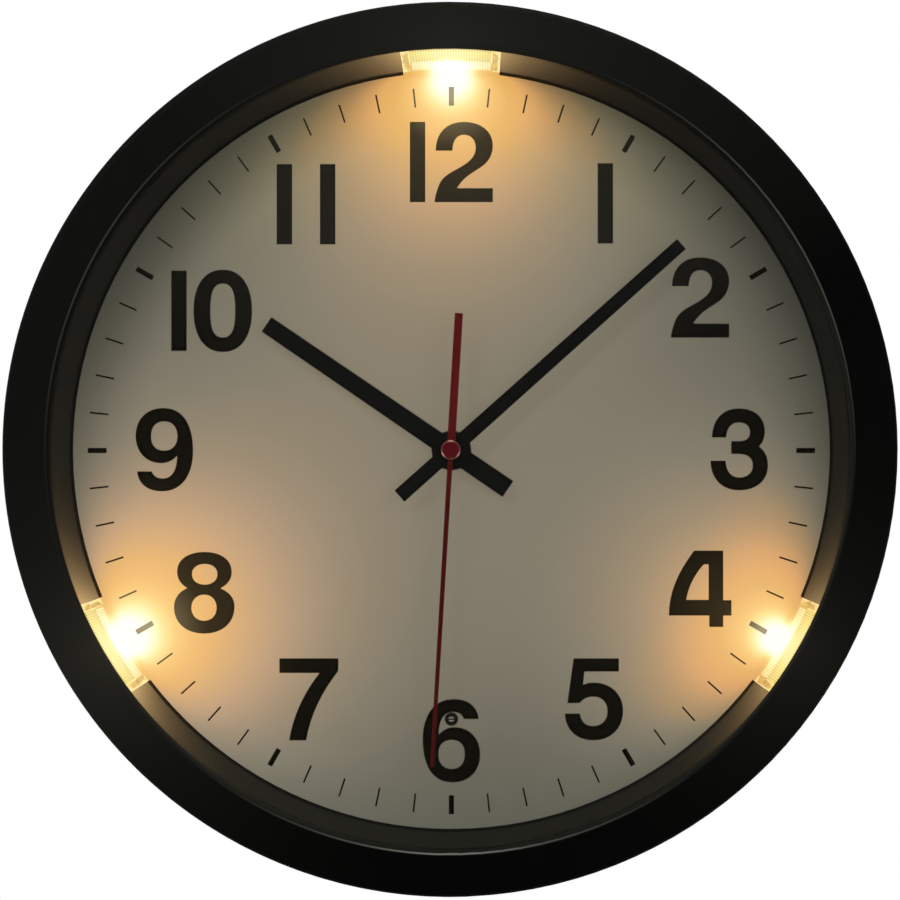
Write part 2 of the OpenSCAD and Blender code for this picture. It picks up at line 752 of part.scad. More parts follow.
module hour_numerals() {
    grow = numeral_h / drawn_h;
    color([0.05, 0.05, 0.05]) on_wall() translate([0, 0, dial_z]) linear_extrude(ink_t)
        for (row = numerals) translate(clock_at(numeral_r, row[0] * 30) + grow * row[2]) scale(grow)
            for (place = row[1]) translate([place[1], 0]) digit(place[0]);
}

module minute_track() {
    color([0.05, 0.05, 0.05]) on_wall() translate([0, 0, dial_z]) linear_extrude(ink_t)
        for (k = [0 : 59]) {
            w = k % 5 == 0 ? hour_mark_w : mark_w;
            rotate(-k * 6) translate([-w / 2, mark_r - mark_len]) square([w, mark_len]);
        }
}

module light_sensor() {
    lead_x = 1.2;
    lead_d = 0.5;
    body_t = 1.2;
    proud = 0.3;
    color([0.5, 0.35, 0.25]) on_wall() translate([0, -sensor_y, 0]) {
        rod(sensor_d, dial_back_z - body_t, dial_z + proud);
        for (side = [-1, 1]) translate([side * lead_x, 0, 0])
            rod(lead_d, control_z1, dial_back_z - body_t);
    }
}

module control_board() {
    color([0.05, 0.3, 0.12]) on_wall()
        translate([-control_w / 2, control_top_y - control_h, control_z0])
        cube([control_w, control_h, board_t]);
}

module control_chip() {
    chip = [5, 4, 1.5];
    chip_x = -8.5;
    color([0.05, 0.05, 0.05]) on_wall()
        translate([chip_x, control_top_y - chip[1] - 2, control_z0 - chip[2]]) cube(chip);
}

module keyhole_shape(room) {
    circle(d = keyhole_d + 2 * room);
    translate([-keyhole_slot_w / 2 - room, 0]) square([keyhole_slot_w + 2 * room, keyhole_slot_len]);
    translate([0, keyhole_slot_len]) circle(d = keyhole_slot_w + 2 * room);
}

// Head room behind the keyhole: the screw head slides up it
pocket_deep = 5;
pocket_wall = 1.5;
pocket_w = keyhole_d + 1;
pocket_h = keyhole_slot_len + keyhole_d + 1;
pocket_y = keyhole_y + keyhole_slot_len / 2;

module rear_case_solid() {
    rod(2 * plate_r, plate_z0, plate_z1);
    translate([0, 0, plate_z1]) difference() {
        cylinder(r = support_r + support_t, h = dial_back_z - plate_z1);
        translate([0, 0, -1]) cylinder(r = support_r, h = dial_back_z);
    }
    translate([box_x, 0, 0]) {
        soft_box(box_w + 2 * box_wall, box_h + 2 * box_wall, 2, plate_z1 - 1, box_floor_z + box_floor_t);
        translate([-door_w / 2 - hinge_pin_len - rail_end, hinge_y - hinge_r - rail_end, plate_z1 - 1])
            cube([door_w + 2 * (hinge_pin_len + rail_end), ledge + hinge_r + rail_end,
                rail_z1 - plate_z1 + 1]);
    }
    translate([0, pocket_y, 0])
        soft_box(pocket_w + 2 * pocket_wall, pocket_h + 2 * pocket_wall, 2, plate_z1 - 1,
            plate_z1 + pocket_deep + pocket_wall);
    for (side = [-1, 1]) translate([side * control_post_x, control_post_y, 0])
        rod(control_post_d, plate_z1 - 1, control_z0);
}

module rear_case_cuts() {
    soft_box(movement_w + 2 * movement_gap, movement_w + 2 * movement_gap, 3, -1, plate_z1 + 1);
    translate([box_x, 0, 0]) {
        soft_box(box_w, box_h, 0.6, -1, box_floor_z);
        translate([-door_w / 2 - side_fit, hinge_y, -1])
            cube([door_w + 2 * side_fit, door_top_y + side_fit - hinge_y, door_z1 + 1]);
        translate([-door_w / 2 - side_fit, hinge_y - hinge_r - hinge_room, -1])
            cube([door_w + 2 * side_fit, hinge_r + hinge_room, hinge_z + 1]);
        translate([-door_w / 2 - side_fit, hinge_y, hinge_z]) rotate([0, 90, 0])
            cylinder(r = hinge_r + hinge_room, h = door_w + 2 * side_fit);
        translate([-door_w / 2 - hinge_pin_len - side_fit, hinge_y, hinge_z]) rotate([0, 90, 0])
            cylinder(r = hinge_pin_r + run_fit, h = door_w + 2 * hinge_pin_len + 2 * side_fit);
        translate([0, door_top_y, -1]) cylinder(r = finger_r, h = plate_z0 + finger_deep + 1);
    }
    translate([0, keyhole_y, -1]) linear_extrude(plate_z1 + 2) keyhole_shape(0);
    translate([0, pocket_y, 0]) soft_box(pocket_w, pocket_h, 1, plate_z1, plate_z1 + pocket_deep);
    at_bosses() rod(screw_d + 2 * side_fit, 0, plate_z1 + 1);
    at_bosses() rod(2 * screw_d + 2 * side_fit, 0, plate_z0 + head_sink);
    translate([switch_x - (stem_w + switch_travel) / 2 - side_fit, switch_y - stem_h / 2 - side_fit, 0])
        cube([stem_w + switch_travel + 2 * side_fit, stem_h + 2 * side_fit, plate_z1 + 1]);
    for (a = lamp_angles) at_clock(a) translate([-wire_d, support_r - 1, plate_z1 + eps])
        cube([2 * wire_d, support_t + 2, 2 * wire_d]);
}

module rear_case() {
    color([0.05, 0.05, 0.05]) on_wall() difference() {
        rear_case_solid();
        rear_case_cuts();
    }
}

module case_screws() {
    head_t = 1.6;
    seat_z = plate_z0 + head_sink;
    color([0.6, 0.6, 0.6]) on_wall() at_bosses() difference() {
        union() {
            rod(screw_d, seat_z, seat_z + screw_len);
            rod(2 * screw_d, seat_z - head_t, seat_z);
        }
        for (turn = [0, 90]) translate([0, 0, seat_z - head_t]) rotate([0, 0, turn])
            cube([screw_d, screw_d / 5, head_t], center = true);
    }
}

module switch_body() {
    color([0.75, 0.75, 0.72]) on_wall() difference() {
        translate([switch_x - switch_w / 2, switch_y - switch_h / 2, plate_z1])
            cube([switch_w, switch_h, switch_tall]);
        translate([switch_x - (stem_w + switch_travel) / 2 - side_fit, switch_y - stem_h / 2 - side_fit,
            plate_z1 - 1])
            cube([stem_w + switch_travel + 2 * side_fit, stem_h + 2 * side_fit, stem_in + end_play + 1]);
    }
}

module switch_slider() {
    color([0.04, 0.04, 0.04]) on_wall()
        translate([switch_x - (stem_w + switch_travel) / 2, switch_y - stem_h / 2, plate_z0 - stem_out])
        cube([stem_w, stem_h, stem_out + plate_t + stem_in]);
}

module battery_door() {
    color([0.05, 0.05, 0.05]) on_wall() translate([box_x, 0, 0]) {
        difference() {
            translate([-door_w / 2, hinge_y, plate_z0])
                cube([door_w, door_top_y - hinge_y, door_t]);
            for (k = [-1 : 1]) translate([-7, door_top_y - 5 + 1.6 * k - 0.4, plate_z0 - 1])
                cube([14, 0.8, 1.4]);
        }
        translate([-door_w / 2, hinge_y, hinge_z]) rotate([0, 90, 0]) cylinder(r = hinge_r, h = door_w);
        translate([-door_w / 2 - hinge_pin_len, hinge_y, hinge_z]) rotate([0, 90, 0])
            cylinder(r = hinge_pin_r, h = door_w + 2 * hinge_pin_len);
        translate([-tongue_w / 2, box_top_y - tongue_gap - tongue_t, door_z1 - 0.5])
            cube([tongue_w, tongue_t, tongue_tall + 0.5]);
    }
}

// AA cell along +x, its pip end at x = cell_len / 2
module aa_cell() {
    pip_len = 1.2;
    pip_d = 5.4;
    rotate([0, 90, 0]) translate([0, 0, -cell_len / 2]) {
        cylinder(d = cell_d, h = cell_len - pip_len);
        cylinder(d = pip_d, h = cell_len);
    }
}

function light_cell_y(k) = box_top_y - (k + 0.5) * cell_pitch;

module light_cells() {
    color([0.2, 0.35, 0.25]) on_wall() for (k = [0 : cell_count - 1])
        translate([box_x, light_cell_y(k), door_z1 + cell_room + cell_d / 2])
        rotate([0, 0, k % 2 * 180]) aa_cell();
}

module light_contacts() {
    plate_h = 10;
    plate_w = 11;
    color([0.8, 0.78, 0.7]) on_wall() for (k = [0 : cell_count - 1]) for (side = [-1, 1])
        translate([box_x, light_cell_y(k), door_z1 + cell_room + cell_d / 2]) {
            translate([side > 0 ? box_w / 2 - contact_t : -box_w / 2, -plate_w / 2, -plate_h / 2])
                cube([contact_t, plate_w, plate_h]);
            translate([side > 0 ? cell_len / 2 : -box_w / 2 + contact_t, 0, 0]) rotate([0, 90, 0])
                cylinder(d = 5, h = contact_bump);
        }
}

module led_wires() {
    board_y = control_top_y - control_h + 3;
    sleeve_half = sleeve_d / 2 + eps;
    color([0.6, 0.1, 0.08]) on_wall() {
        rotate([0, 0, 90]) rotate_extrude(angle = 240, $fn = round_fn)
            translate([harness_r, harness_z]) circle(d = sleeve_d);
        for (a = lamp_angles) at_clock(a) {
            lead([0, harness_r + sleeve_half, harness_z], [0, led_wire_r, harness_z], wire_d);
            translate([0, led_wire_r, 0]) rod(wire_d, harness_z, led_wire_z);
            translate([0, led_wire_r, led_wire_z]) sphere(d = wire_d);
            translate([0, led_board_y + board_t, led_wire_z]) rotate([-90, 0, 0])
                cylinder(d = wire_d, h = led_wire_r - led_board_y - board_t);
        }
        lead([0, -harness_r + sleeve_half, harness_z], [0, board_y, harness_z], wire_d);
        translate([0, board_y, 0]) rod(wire_d, harness_z, control_z0);
    }
}

module battery_wires() {
    wall_y = box_bottom_y - box_wall;
    low_z = rail_z1 + wire_d / 2 + 0.1;
    gap = 2 * wire_d;
    color([0.1, 0.1, 0.1]) on_wall() for (k = [0, 1]) {
        down_x = box_x - box_w / 2 + gap * (k + 1);
        in_x = control_w / 2 - gap * k - wire_d;
        in_y = control_top_y - gap * k - wire_d;
        translate([down_x, wall_y, low_z]) rotate([90, 0, 0]) cylinder(d = wire_d, h = wall_y - in_y);
        translate([down_x, in_y, low_z]) sphere(d = wire_d);
        translate([in_x, in_y, low_z]) rotate([0, 90, 0]) cylinder(d = wire_d, h = down_x - in_x);
        translate([in_x, in_y, low_z]) sphere(d = wire_d);
        translate([in_x, in_y, 0]) rod(wire_d, low_z, control_z0);
    }
}

module switch_wires() {
    low_z = plate_z1 + switch_tall / 2;
    body_x = switch_x + switch_w / 2;
    in_x = -control_w / 2 + wire_d;
    color([0.1, 0.1, 0.3]) on_wall() {
        translate([body_x, switch_y, low_z]) rotate([0, 90, 0]) cylinder(d = wire_d, h = in_x - body_x);
        translate([in_x, switch_y, low_z]) sphere(d = wire_d);
        translate([in_x, switch_y, 0]) rod(wire_d, low_z, control_z0);
    }
}

module movement_front() {
    color([0.08, 0.08, 0.09]) on_wall() {
        difference() {
            union() {
                soft_box(movement_w, movement_w, 2, movement_split_z, movement_zf);
                rod(bushing_d, movement_zf - eps, bushing_top_z);
            }
            soft_box(2 * inner_half, 2 * inner_half, 1, movement_split_z - 1, movement_zi);
            rod(hour_tube_d + 2 * run_fit, movement_zi - 1, bushing_top_z + 1);
            for (at = [third_at, fifth_at, rotor_at]) translate(at)
                rod(arbor_d + 2 * run_fit, movement_zi - 1, movement_zi + pivot_hole);
            translate(set_at) rod(set_shaft_d + 2 * run_fit, movement_zi - 1, movement_zi + pivot_hole);
        }
        translate(motion_at) rod(motion_post_d, layer(1) - 0.2, movement_zi + eps);
    }
}

module movement_rear() {
    color([0.08, 0.08, 0.09]) on_wall() difference() {
        union() {
            difference() {
                soft_box(movement_w, movement_w, 2, movement_zb, movement_split_z);
                soft_box(2 * inner_half, 2 * inner_half, 1, movement_zc, movement_split_z + 1);
                translate([-inner_half, -inner_half, movement_zb - 1])
                    cube([2 * inner_half, bay_y + inner_half, movement_depth]);
            }
            translate([-inner_half + bay_post, bay_y, movement_zb])
                cube([2 * (inner_half - bay_post), bay_wall_t, movement_zi - movement_zb - end_play]);
        }
        for (at = [[0, 0], third_at, fifth_at, rotor_at]) translate(at)
            rod(arbor_d + 2 * run_fit, movement_zc - pivot_hole, movement_zc + 1);
        translate(set_at) rod(set_shaft_d + 2 * run_fit, movement_zb - 1, movement_zc + 1);
    }
}

module mounting_nut() {
    color([0.1, 0.1, 0.095]) on_wall() difference() {
        translate([0, 0, dial_z + washer_t]) cylinder(d = nut_d, h = nut_t, $fn = 6);
        rod(bushing_d + 2 * slip_fit, dial_z, nut_top_z + 1);
    }
}

module nut_washer() {
    color([0.1, 0.1, 0.095]) on_wall() difference() {
        rod(washer_d, dial_z, dial_z + washer_t);
        rod(bushing_d + 2 * side_fit, dial_z - 1, nut_top_z);
    }
}

module dial_gasket() {
    color([0.06, 0.06, 0.06]) on_wall() difference() {
        rod(gasket_d, movement_zf, dial_back_z);
        rod(bushing_d + 2 * side_fit, movement_zf - 1, dial_z);
    }
}

// Meshing turns of the wheels, starting from the seconds arbor and the minute arbor
third_wheel_turn = mesh_turn(0, seconds_pinion_n, third_wheel_n, third_dir);
centre_wheel_turn = mesh_turn(0, third_pinion_n, centre_wheel_n, third_dir + 180);
fifth_pinion_turn = mesh_turn(0, seconds_wheel_n, fifth_pinion_n, fifth_dir);
rotor_pinion_turn = mesh_turn(0, fifth_wheel_n, rotor_pinion_n, rotor_dir);
motion_wheel_turn = mesh_turn(0, cannon_n, motion_wheel_n, motion_dir);
hour_wheel_turn = mesh_turn(0, motion_pinion_n, hour_wheel_n, motion_dir + 180);
set_pinion_turn = mesh_turn(motion_wheel_turn, motion_wheel_n, set_pinion_n, set_dir);

module seconds_wheel() {
    color([0.9, 0.9, 0.85]) on_wall() {
        gear(seconds_pinion_n, third_mod, 0, layer(3));
        gear(seconds_wheel_n, fifth_mod, 0, layer(4));
        rod(arbor_d, movement_zc - pivot_in, second_z + hand_t + cap_h / 2);
    }
}

// Blade of a hand along +y: tail, tip, widths at both ends
module blade(tail, tip, tail_w, tip_w, z) {
    translate([0, 0, z]) linear_extrude(hand_t) polygon([
        [-tail_w / 2, -tail], [tail_w / 2, -tail], [tip_w / 2, tip], [-tip_w / 2, tip]]);
}

module hub(d, bore, z) {
    difference() {
        union() {
            rod(d, z, z + hand_t);
            rod(bore + 2.4, z - collet_below, z + hand_t + collet_h - collet_below);
        }
        rod(bore, z - collet_below - 1, z + collet_h + 2);
    }
}

module drilled(bore, z) {
    difference() {
        children();
        rod(bore, z - 1, z + 2);
    }
}

module second_hand() {
    root_w = second_w + 0.4;
    color([0.55, 0.06, 0.07]) on_wall() at_clock(second_angle) drilled(arbor_d + 2 * slip_fit, second_z) {
        translate([0, 0, second_z]) linear_extrude(hand_t) {
            polygon([
                [-root_w / 2, 0], [root_w / 2, 0], [second_w / 2, second_len],
                [-second_w / 2, second_len]]);
            translate([-second_tail_w / 2, -second_tail]) square([second_tail_w, second_tail]);
            circle(d = cap_d * 0.8);
        }
        rod(2.2, second_z - 0.6, second_z);
    }
}

module second_hand_cap() {
    chamfer = 0.5;
    color([0.6, 0.07, 0.08]) on_wall() difference() {
        translate([0, 0, second_z + hand_t]) rotate_extrude() polygon([
            [0, 0], [cap_d / 2, 0], [cap_d / 2, cap_h - chamfer], [cap_d / 2 - chamfer, cap_h],
            [0, cap_h]]);
        rod(arbor_d + 2 * slip_fit, second_z, second_z + hand_t + cap_h / 2 + slip_fit);
    }
}

module minute_arbor() {
    color([0.9, 0.9, 0.85]) on_wall() difference() {
        union() {
            rod(clutch_flange_d, layer(2) - 0.4, layer(2) - 0.1);
            rod(clutch_seat_d, layer(2) - 0.2, layer(1) + eps);
            gear(cannon_n, motion_mod, 0, layer(1));
            rod(minute_tube_d, layer(1) + wheel_t - eps, minute_z + hand_t + collet_h - collet_below);
        }
        rod(arbor_d + 2 * run_fit, layer(3), second_z);
    }
}

module minute_hand() {
    bore = minute_tube_d + 2 * slip_fit;
    color([0.05, 0.05, 0.05]) on_wall() at_clock(minute_angle) {
        hub(hub_d - 0.8, bore, minute_z);
        drilled(bore, minute_z) blade(tail_len, minute_len, minute_w + hand_taper, minute_w, minute_z);
    }
}

module hour_wheel() {
    color([0.9, 0.9, 0.85]) on_wall() difference() {
        union() {
            gear(hour_wheel_n, hour_mod, hour_wheel_turn, layer(0));
            rod(hour_tube_d, layer(0), hour_z + hand_t + collet_h - collet_below);
        }
        rod(minute_tube_d + 2 * run_fit, layer(1), minute_z);
    }
}

module hour_hand() {
    bore = hour_tube_d + 2 * slip_fit;
    color([0.05, 0.05, 0.05]) on_wall() at_clock(hour_angle) {
        hub(hub_d, bore, hour_z);
        drilled(bore, hour_z) blade(tail_len, hour_len, hour_w + hand_taper, hour_w, hour_z);
    }
}

module centre_wheel() {
    color([0.85, 0.8, 0.6]) on_wall() difference() {
        gear(centre_wheel_n, centre_mod, centre_wheel_turn, layer(2));
        rod(clutch_seat_d + 2 * run_fit, layer(3), layer(1));
    }
}

module third_wheel() {
    color([0.9, 0.9, 0.85]) on_wall() translate(third_at) {
        gear(third_wheel_n, third_mod, third_wheel_turn, layer(3));
        gear(third_pinion_n, centre_mod, 0, layer(2));
        rod(arbor_d, movement_zc - pivot_in, movement_zi + pivot_in);
    }
}

module fifth_wheel() {
    color([0.9, 0.9, 0.85]) on_wall() translate(fifth_at) {
        gear(fifth_pinion_n, fifth_mod, fifth_pinion_turn, layer(4));
        gear(fifth_wheel_n, rotor_mod, 0, layer(5));
        rod(arbor_d, movement_zc - pivot_in, movement_zi + pivot_in);
    }
}

module rotor() {
    color([0.9, 0.9, 0.85]) on_wall() translate(rotor_at) {
        gear(rotor_pinion_n, rotor_mod, rotor_pinion_turn, layer(5));
        rod(arbor_d, movement_zc - pivot_in, movement_zi + pivot_in);
    }
}

module rotor_magnet() {
    color([0.3, 0.3, 0.32]) on_wall() translate(rotor_at) difference() {
        rod(magnet_d, magnet_z1 - magnet_t, magnet_z1);
        rod(arbor_d + 2 * slip_fit, magnet_z1 - magnet_t - 1, magnet_z1 + 1);
    }
}

module motion_wheel() {
    color([0.9, 0.9, 0.85]) on_wall() translate(motion_at) difference() {
        union() {
            gear(motion_wheel_n, motion_mod, motion_wheel_turn, layer(1));
            gear(motion_pinion_n, hour_mod, 0, layer(0));
            rod(motion_post_d + 0.9, layer(1), layer(0) + wheel_t);
        }
        rod(motion_post_d + 2 * run_fit, layer(2), movement_zf);
    }
}

module set_shaft() {
    color([0.9, 0.9, 0.85]) on_wall() translate(set_at) {
        gear(set_pinion_n, motion_mod, set_pinion_turn, layer(1));
        rod(set_shaft_d, knob_z1 - knob_t + knob_face, movement_zi + pivot_in);
    }
}

module set_knob() {
    grips = 24;
    color([0.06, 0.06, 0.06]) on_wall() translate(set_at) difference() {
        rod(knob_d, knob_z1 - knob_t, knob_z1);
        rod(set_shaft_d + 2 * slip_fit, knob_z1 - knob_t + knob_face - slip_fit, knob_z1 + 1);
        for (k = [0 : grips - 1]) rotate([0, 0, k * 360 / grips]) translate([knob_d / 2 + 0.2, 0, 0])
            rod(0.9, knob_z1 - knob_t - 1, knob_z1 - knob_face);
    }
}

module stator() {
    color([0.6, 0.6, 0.62]) on_wall() translate([0, 0, stator_z0]) linear_extrude(stator_t) difference() {
        union() {
            translate(rotor_at) circle(d = stator_hole_d + 2 * stator_rim);
            translate([coil_x1 + coil_gap, coil_y - arm_w / 2])
                square([rotor_at[0] - coil_x1 - coil_gap, arm_w]);
            translate([stator_left, arm_y]) square([rotor_at[0] - stator_left, arm_w]);
            translate([stator_left, arm_y]) square([arm_w, coil_y + arm_w / 2 - arm_y]);
        }
        translate(rotor_at) circle(d = stator_hole_d);
    }
}

module coil() {
    color([0.7, 0.35, 0.15]) on_wall() difference() {
        translate([coil_x0, coil_y, stator_z0 + stator_t + core_t / 2]) rotate([0, 90, 0])
            cylinder(r = coil_r, h = coil_x1 - coil_x0);
        translate([coil_x0 - 1, coil_y - core_h / 2, stator_z0 + stator_t])
            cube([coil_x1 - coil_x0 + 2, core_h, core_t]);
    }
}

module coil_core() {
    color([0.6, 0.6, 0.62]) on_wall()
        translate([stator_left, coil_y - core_h / 2, stator_z0 + stator_t])
        cube([coil_x1 + 3 - stator_left, core_h, core_t]);
}

// Movement circuit board on the rear cover, with its chip and crystal
mboard_gap = 0.6;
mboard_x = -inner_half + contact_t + mboard_gap;
mboard_y = bay_y + bay_wall_t + mboard_gap;
mboard_w = 13;
mboard_h = 19;

module movement_board() {
    color([0.05, 0.3, 0.12]) on_wall() translate([mboard_x, mboard_y, movement_zc])
        cube([mboard_w, mboard_h, board_t]);
}

module movement_chip() {
    blob_d = 6;
    blob_t = 1.2;
    color([0.03, 0.03, 0.03]) on_wall()
        translate([mboard_x + mboard_w / 2, mboard_y + mboard_h - blob_d / 2 - 2, 0])
        rod(blob_d, movement_zc + board_t, movement_zc + board_t + blob_t);
}

module quartz_crystal() {
    crystal_d = 2;
    color([0.8, 0.8, 0.8]) on_wall()
        translate([mboard_x + 2.5, mboard_y + 5, movement_zc + board_t + crystal_d / 2 + 0.05])
        rotate([0, 90, 0]) cylinder(d = crystal_d, h = 7);
}

module movement_contact(side) {
    bump = inner_half - contact_t - cell_len / 2;
    strip_y1 = mboard_y + 6;
    color([0.85, 0.7, 0.35]) on_wall() {
        translate([side > 0 ? inner_half - contact_t : -inner_half, movement_cell_y - 4, movement_zc + 2])
            cube([contact_t, strip_y1 - movement_cell_y + 4, 6]);
        translate([side > 0 ? cell_len / 2 : -inner_half + contact_t, movement_cell_y, movement_cell_z])
            rotate([0, 90, 0]) cylinder(d = 5, h = bump);
    }
}

module contact_plus() {
    movement_contact(1);
}

module contact_minus() {
    movement_contact(-1);
}

module movement_cell() {
    color([0.2, 0.35, 0.25]) on_wall() translate([0, movement_cell_y, movement_cell_z]) aa_cell();
}

front_frame();
front_glass();
inner_ring();
light_lens_12();
light_lens_4();
light_lens_8();
led_board_12();
led_board_4();
led_board_8();
led_12();
led_4();
led_8();
dial_plate();
hour_numerals();
minute_track();
light_sensor();
control_board();
control_chip();
rear_case();
case_screws();
switch_body();
switch_slider();
battery_door();
light_cells();
light_contacts();
led_wires();
battery_wires();
switch_wires();
movement_front();
movement_rear();
mounting_nut();
nut_washer();
dial_gasket();
seconds_wheel();
second_hand();
second_hand_cap();
minute_arbor();
minute_hand();
hour_wheel();
hour_hand();
centre_wheel();
third_wheel();
fifth_wheel();
rotor();
rotor_magnet();
motion_wheel();
set_shaft();
set_knob();
stator();
coil();
coil_core();
movement_board();
movement_chip();
quartz_crystal();
contact_plus();
contact_minus();
movement_cell();
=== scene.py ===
import math

import bpy
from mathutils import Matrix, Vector


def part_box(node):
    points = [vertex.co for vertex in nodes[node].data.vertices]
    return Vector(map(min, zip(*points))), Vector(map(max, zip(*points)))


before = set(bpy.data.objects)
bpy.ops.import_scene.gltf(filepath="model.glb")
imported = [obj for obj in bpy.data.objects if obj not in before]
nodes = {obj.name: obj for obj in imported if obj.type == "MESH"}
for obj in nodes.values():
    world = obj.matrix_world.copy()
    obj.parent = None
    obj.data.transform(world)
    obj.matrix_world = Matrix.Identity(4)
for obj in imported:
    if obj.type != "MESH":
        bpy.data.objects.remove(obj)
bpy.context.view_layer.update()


def half_width(node):
    low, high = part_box(node)
    return (high[0] - low[0]) / 2


# Places in the row frame, in metres
AXIS_Z = -0.110
DIAL_Y = -0.0195
FRONT_Y = -0.0435
AXIS_FOOT = (0.0, 0.0, AXIS_Z)
LAMP_R = 0.134
LIP_R = 0.1365
LIP_EDGE = 0.0018
RIM_R = half_width("front_frame")
CAP_R = half_width("second_hand_cap")

# Directions
UP, DOWN = (0.0, 0.0, 1.0), (0.0, 0.0, -1.0)
TO_WALL, OFF_WALL = (0.0, 1.0, 0.0), (0.0, -1.0, 0.0)
IN_DIAL = (1.0, 0.0, 1.0)


def clock_way(degrees):
    """Direction from the hand axis to an angle on the dial, clockwise from 12."""
    a = math.radians(degrees)
    return math.sin(a), 0.0, math.cos(a)


# The three lamps: hour, angle on the dial, strength
LAMPS = ((12, 0, 1.0), (4, 120, 0.7), (8, 240, 1.2))
LAMP_WAYS = [clock_way(angle) for _, angle, _ in LAMPS]
LAMP_POWERS = [power for _, _, power in LAMPS]

# Part of a noise's range in which most of it lies
NOISE_LOW, NOISE_HIGH = 0.3, 0.7


# Small helpers for node materials

class Mat:
    """One procedural material: a Principled shader and the nodes that feed it."""

    SOCKETS = {"base": "Base Color", "rough": "Roughness", "metal": "Metallic", "spec": "Specular IOR Level",
               "emit": "Emission Color", "emit_k": "Emission Strength"}

    def __init__(self, name):
        self.mat = bpy.data.materials.new(name)
        self.mat.use_nodes = True
        self.tree = self.mat.node_tree
        self.tree.nodes.clear()
        self.out = self.tree.nodes.new("ShaderNodeOutputMaterial")
        self.bsdf = self.tree.nodes.new("ShaderNodeBsdfPrincipled")
        self.link(self.bsdf.outputs[0], self.out.inputs[0])
        self.coord = self.node("ShaderNodeTexCoord").outputs["Object"]
        self.tone = None

    def node(self, kind, **settings):
        n = self.tree.nodes.new(kind)
        for key, value in settings.items():
            setattr(n, key, value)
        return n

    def link(self, a, b):
        self.tree.links.new(a, b)

    def put(self, socket, value):
        if isinstance(value, bpy.types.NodeSocket):
            self.link(value, socket)
        else:
            socket.default_value = value

    def set(self, **values):
        for key, value in values.items():
            if isinstance(value, tuple) and len(value) == 3:
                value = (*value, 1.0)
            self.put(self.bsdf.inputs[self.SOCKETS[key]], value)

    def math(self, op, a, b=0.0, clamp=False):
        n = self.node("ShaderNodeMath", operation=op, use_clamp=clamp)
        self.put(n.inputs[0], a)
        self.put(n.inputs[1], b)
        return n.outputs[0]

    def times(self, a, b):
        return self.math("MULTIPLY", a, b)

    def vec(self, op, a, b=None):
        n = self.node("ShaderNodeVectorMath", operation=op)
        self.put(n.inputs[0], a)
        if b is not None:
            self.put(n.inputs[1], b)
        return n.outputs["Value"] if op in ("LENGTH", "DOT_PRODUCT") else n.outputs["Vector"]

    def dot(self, a, way):
        return self.vec("DOT_PRODUCT", a, way)

    def place(self, x, y, z=0.0):
        n = self.node("ShaderNodeCombineXYZ")
        for i, value in enumerate((x, y, z)):
            self.put(n.inputs[i], value)
        return n.outputs[0]

    def noise(self, scale, detail=3.0, rough=0.5, stretch=None):
        n = self.node("ShaderNodeTexNoise")
        n.inputs["Scale"].default_value = scale
        n.inputs["Detail"].default_value = detail
        n.inputs["Roughness"].default_value = rough
        self.link(self.coord if stretch is None else self.vec("MULTIPLY", self.coord, stretch), n.inputs["Vector"])
        return n.outputs["Fac"]

    def ramp(self, fac, *stops):
        n = self.node("ShaderNodeValToRGB")
        self.put(n.inputs[0], fac)
        line = n.color_ramp.elements
        line[0].position, line[0].color = stops[0][0], (*stops[0][1], 1.0)
        line[1].position, line[1].color = stops[-1][0], (*stops[-1][1], 1.0)
        for place, rgb in stops[1:-1]:
            line.new(place).color = (*rgb, 1.0)
        return n.outputs["Color"]

    def mottle(self, noise, dark, light):
        """Colour that wanders between two tones."""
        return self.ramp(noise, (NOISE_LOW, dark), (NOISE_HIGH, light))

    def span(self, fac, low, high, frm=0.0, to=1.0):
        n = self.node("ShaderNodeMapRange", clamp=True)
        for i, value in enumerate((fac, frm, to, low, high)):
            self.put(n.inputs[i], value)
        return n.outputs[0]

    def vary(self, noise, low, high):
        """Number that wanders between two values."""
        return self.span(noise, low, high, NOISE_LOW, NOISE_HIGH)

    def rise(self, fac, frm, to):
        return self.span(fac, 0.0, 1.0, frm, to)

    def drop(self, fac, frm, to):
        return self.span(fac, 1.0, 0.0, frm, to)

    def band(self, fac, rise_from, rise_to, drop_from, drop_to):
        return self.times(self.rise(fac, rise_from, rise_to), self.drop(fac, drop_from, drop_to))

    def mix(self, fac, a, b, blend="MIX"):
        n = self.node("ShaderNodeMix", data_type="RGBA", blend_type=blend)
        self.put(n.inputs[0], fac)
        self.put(n.inputs[6], (*a, 1.0) if isinstance(a, tuple) else a)
        self.put(n.inputs[7], (*b, 1.0) if isinstance(b, tuple) else b)
        return n.outputs[2]

    def tint(self, a, b):
        return self.mix(1.0, a, b, "MULTIPLY")

    def plus(self, a, b):
        return self.mix(1.0, a, b, "ADD")

    def bump(self, height, depth, strength):
        n = self.node("ShaderNodeBump")
        n.inputs["Strength"].default_value = strength
        n.inputs["Distance"].default_value = depth
        self.put(n.inputs["Height"], height)
        self.put(self.bsdf.inputs["Normal"], n.outputs[0])

    def wave(self, way, scale, vector, distortion=0.0):
        n = self.node("ShaderNodeTexWave", wave_type="BANDS", bands_direction=way, wave_profile="SIN")
        n.inputs["Scale"].default_value = scale
        n.inputs["Distortion"].default_value = distortion
        self.link(vector, n.inputs["Vector"])
        return n.outputs["Fac"]

    def flat(self):
        """Place on the dial side, from the hand axis."""
        return self.vec("MULTIPLY", self.vec("SUBTRACT", self.coord, AXIS_FOOT), IN_DIAL)

    def radial(self):
        """Distance from the hand axis, and the unit direction away from it."""
        flat = self.flat()
        return self.vec("LENGTH", flat), self.vec("NORMALIZE", flat)

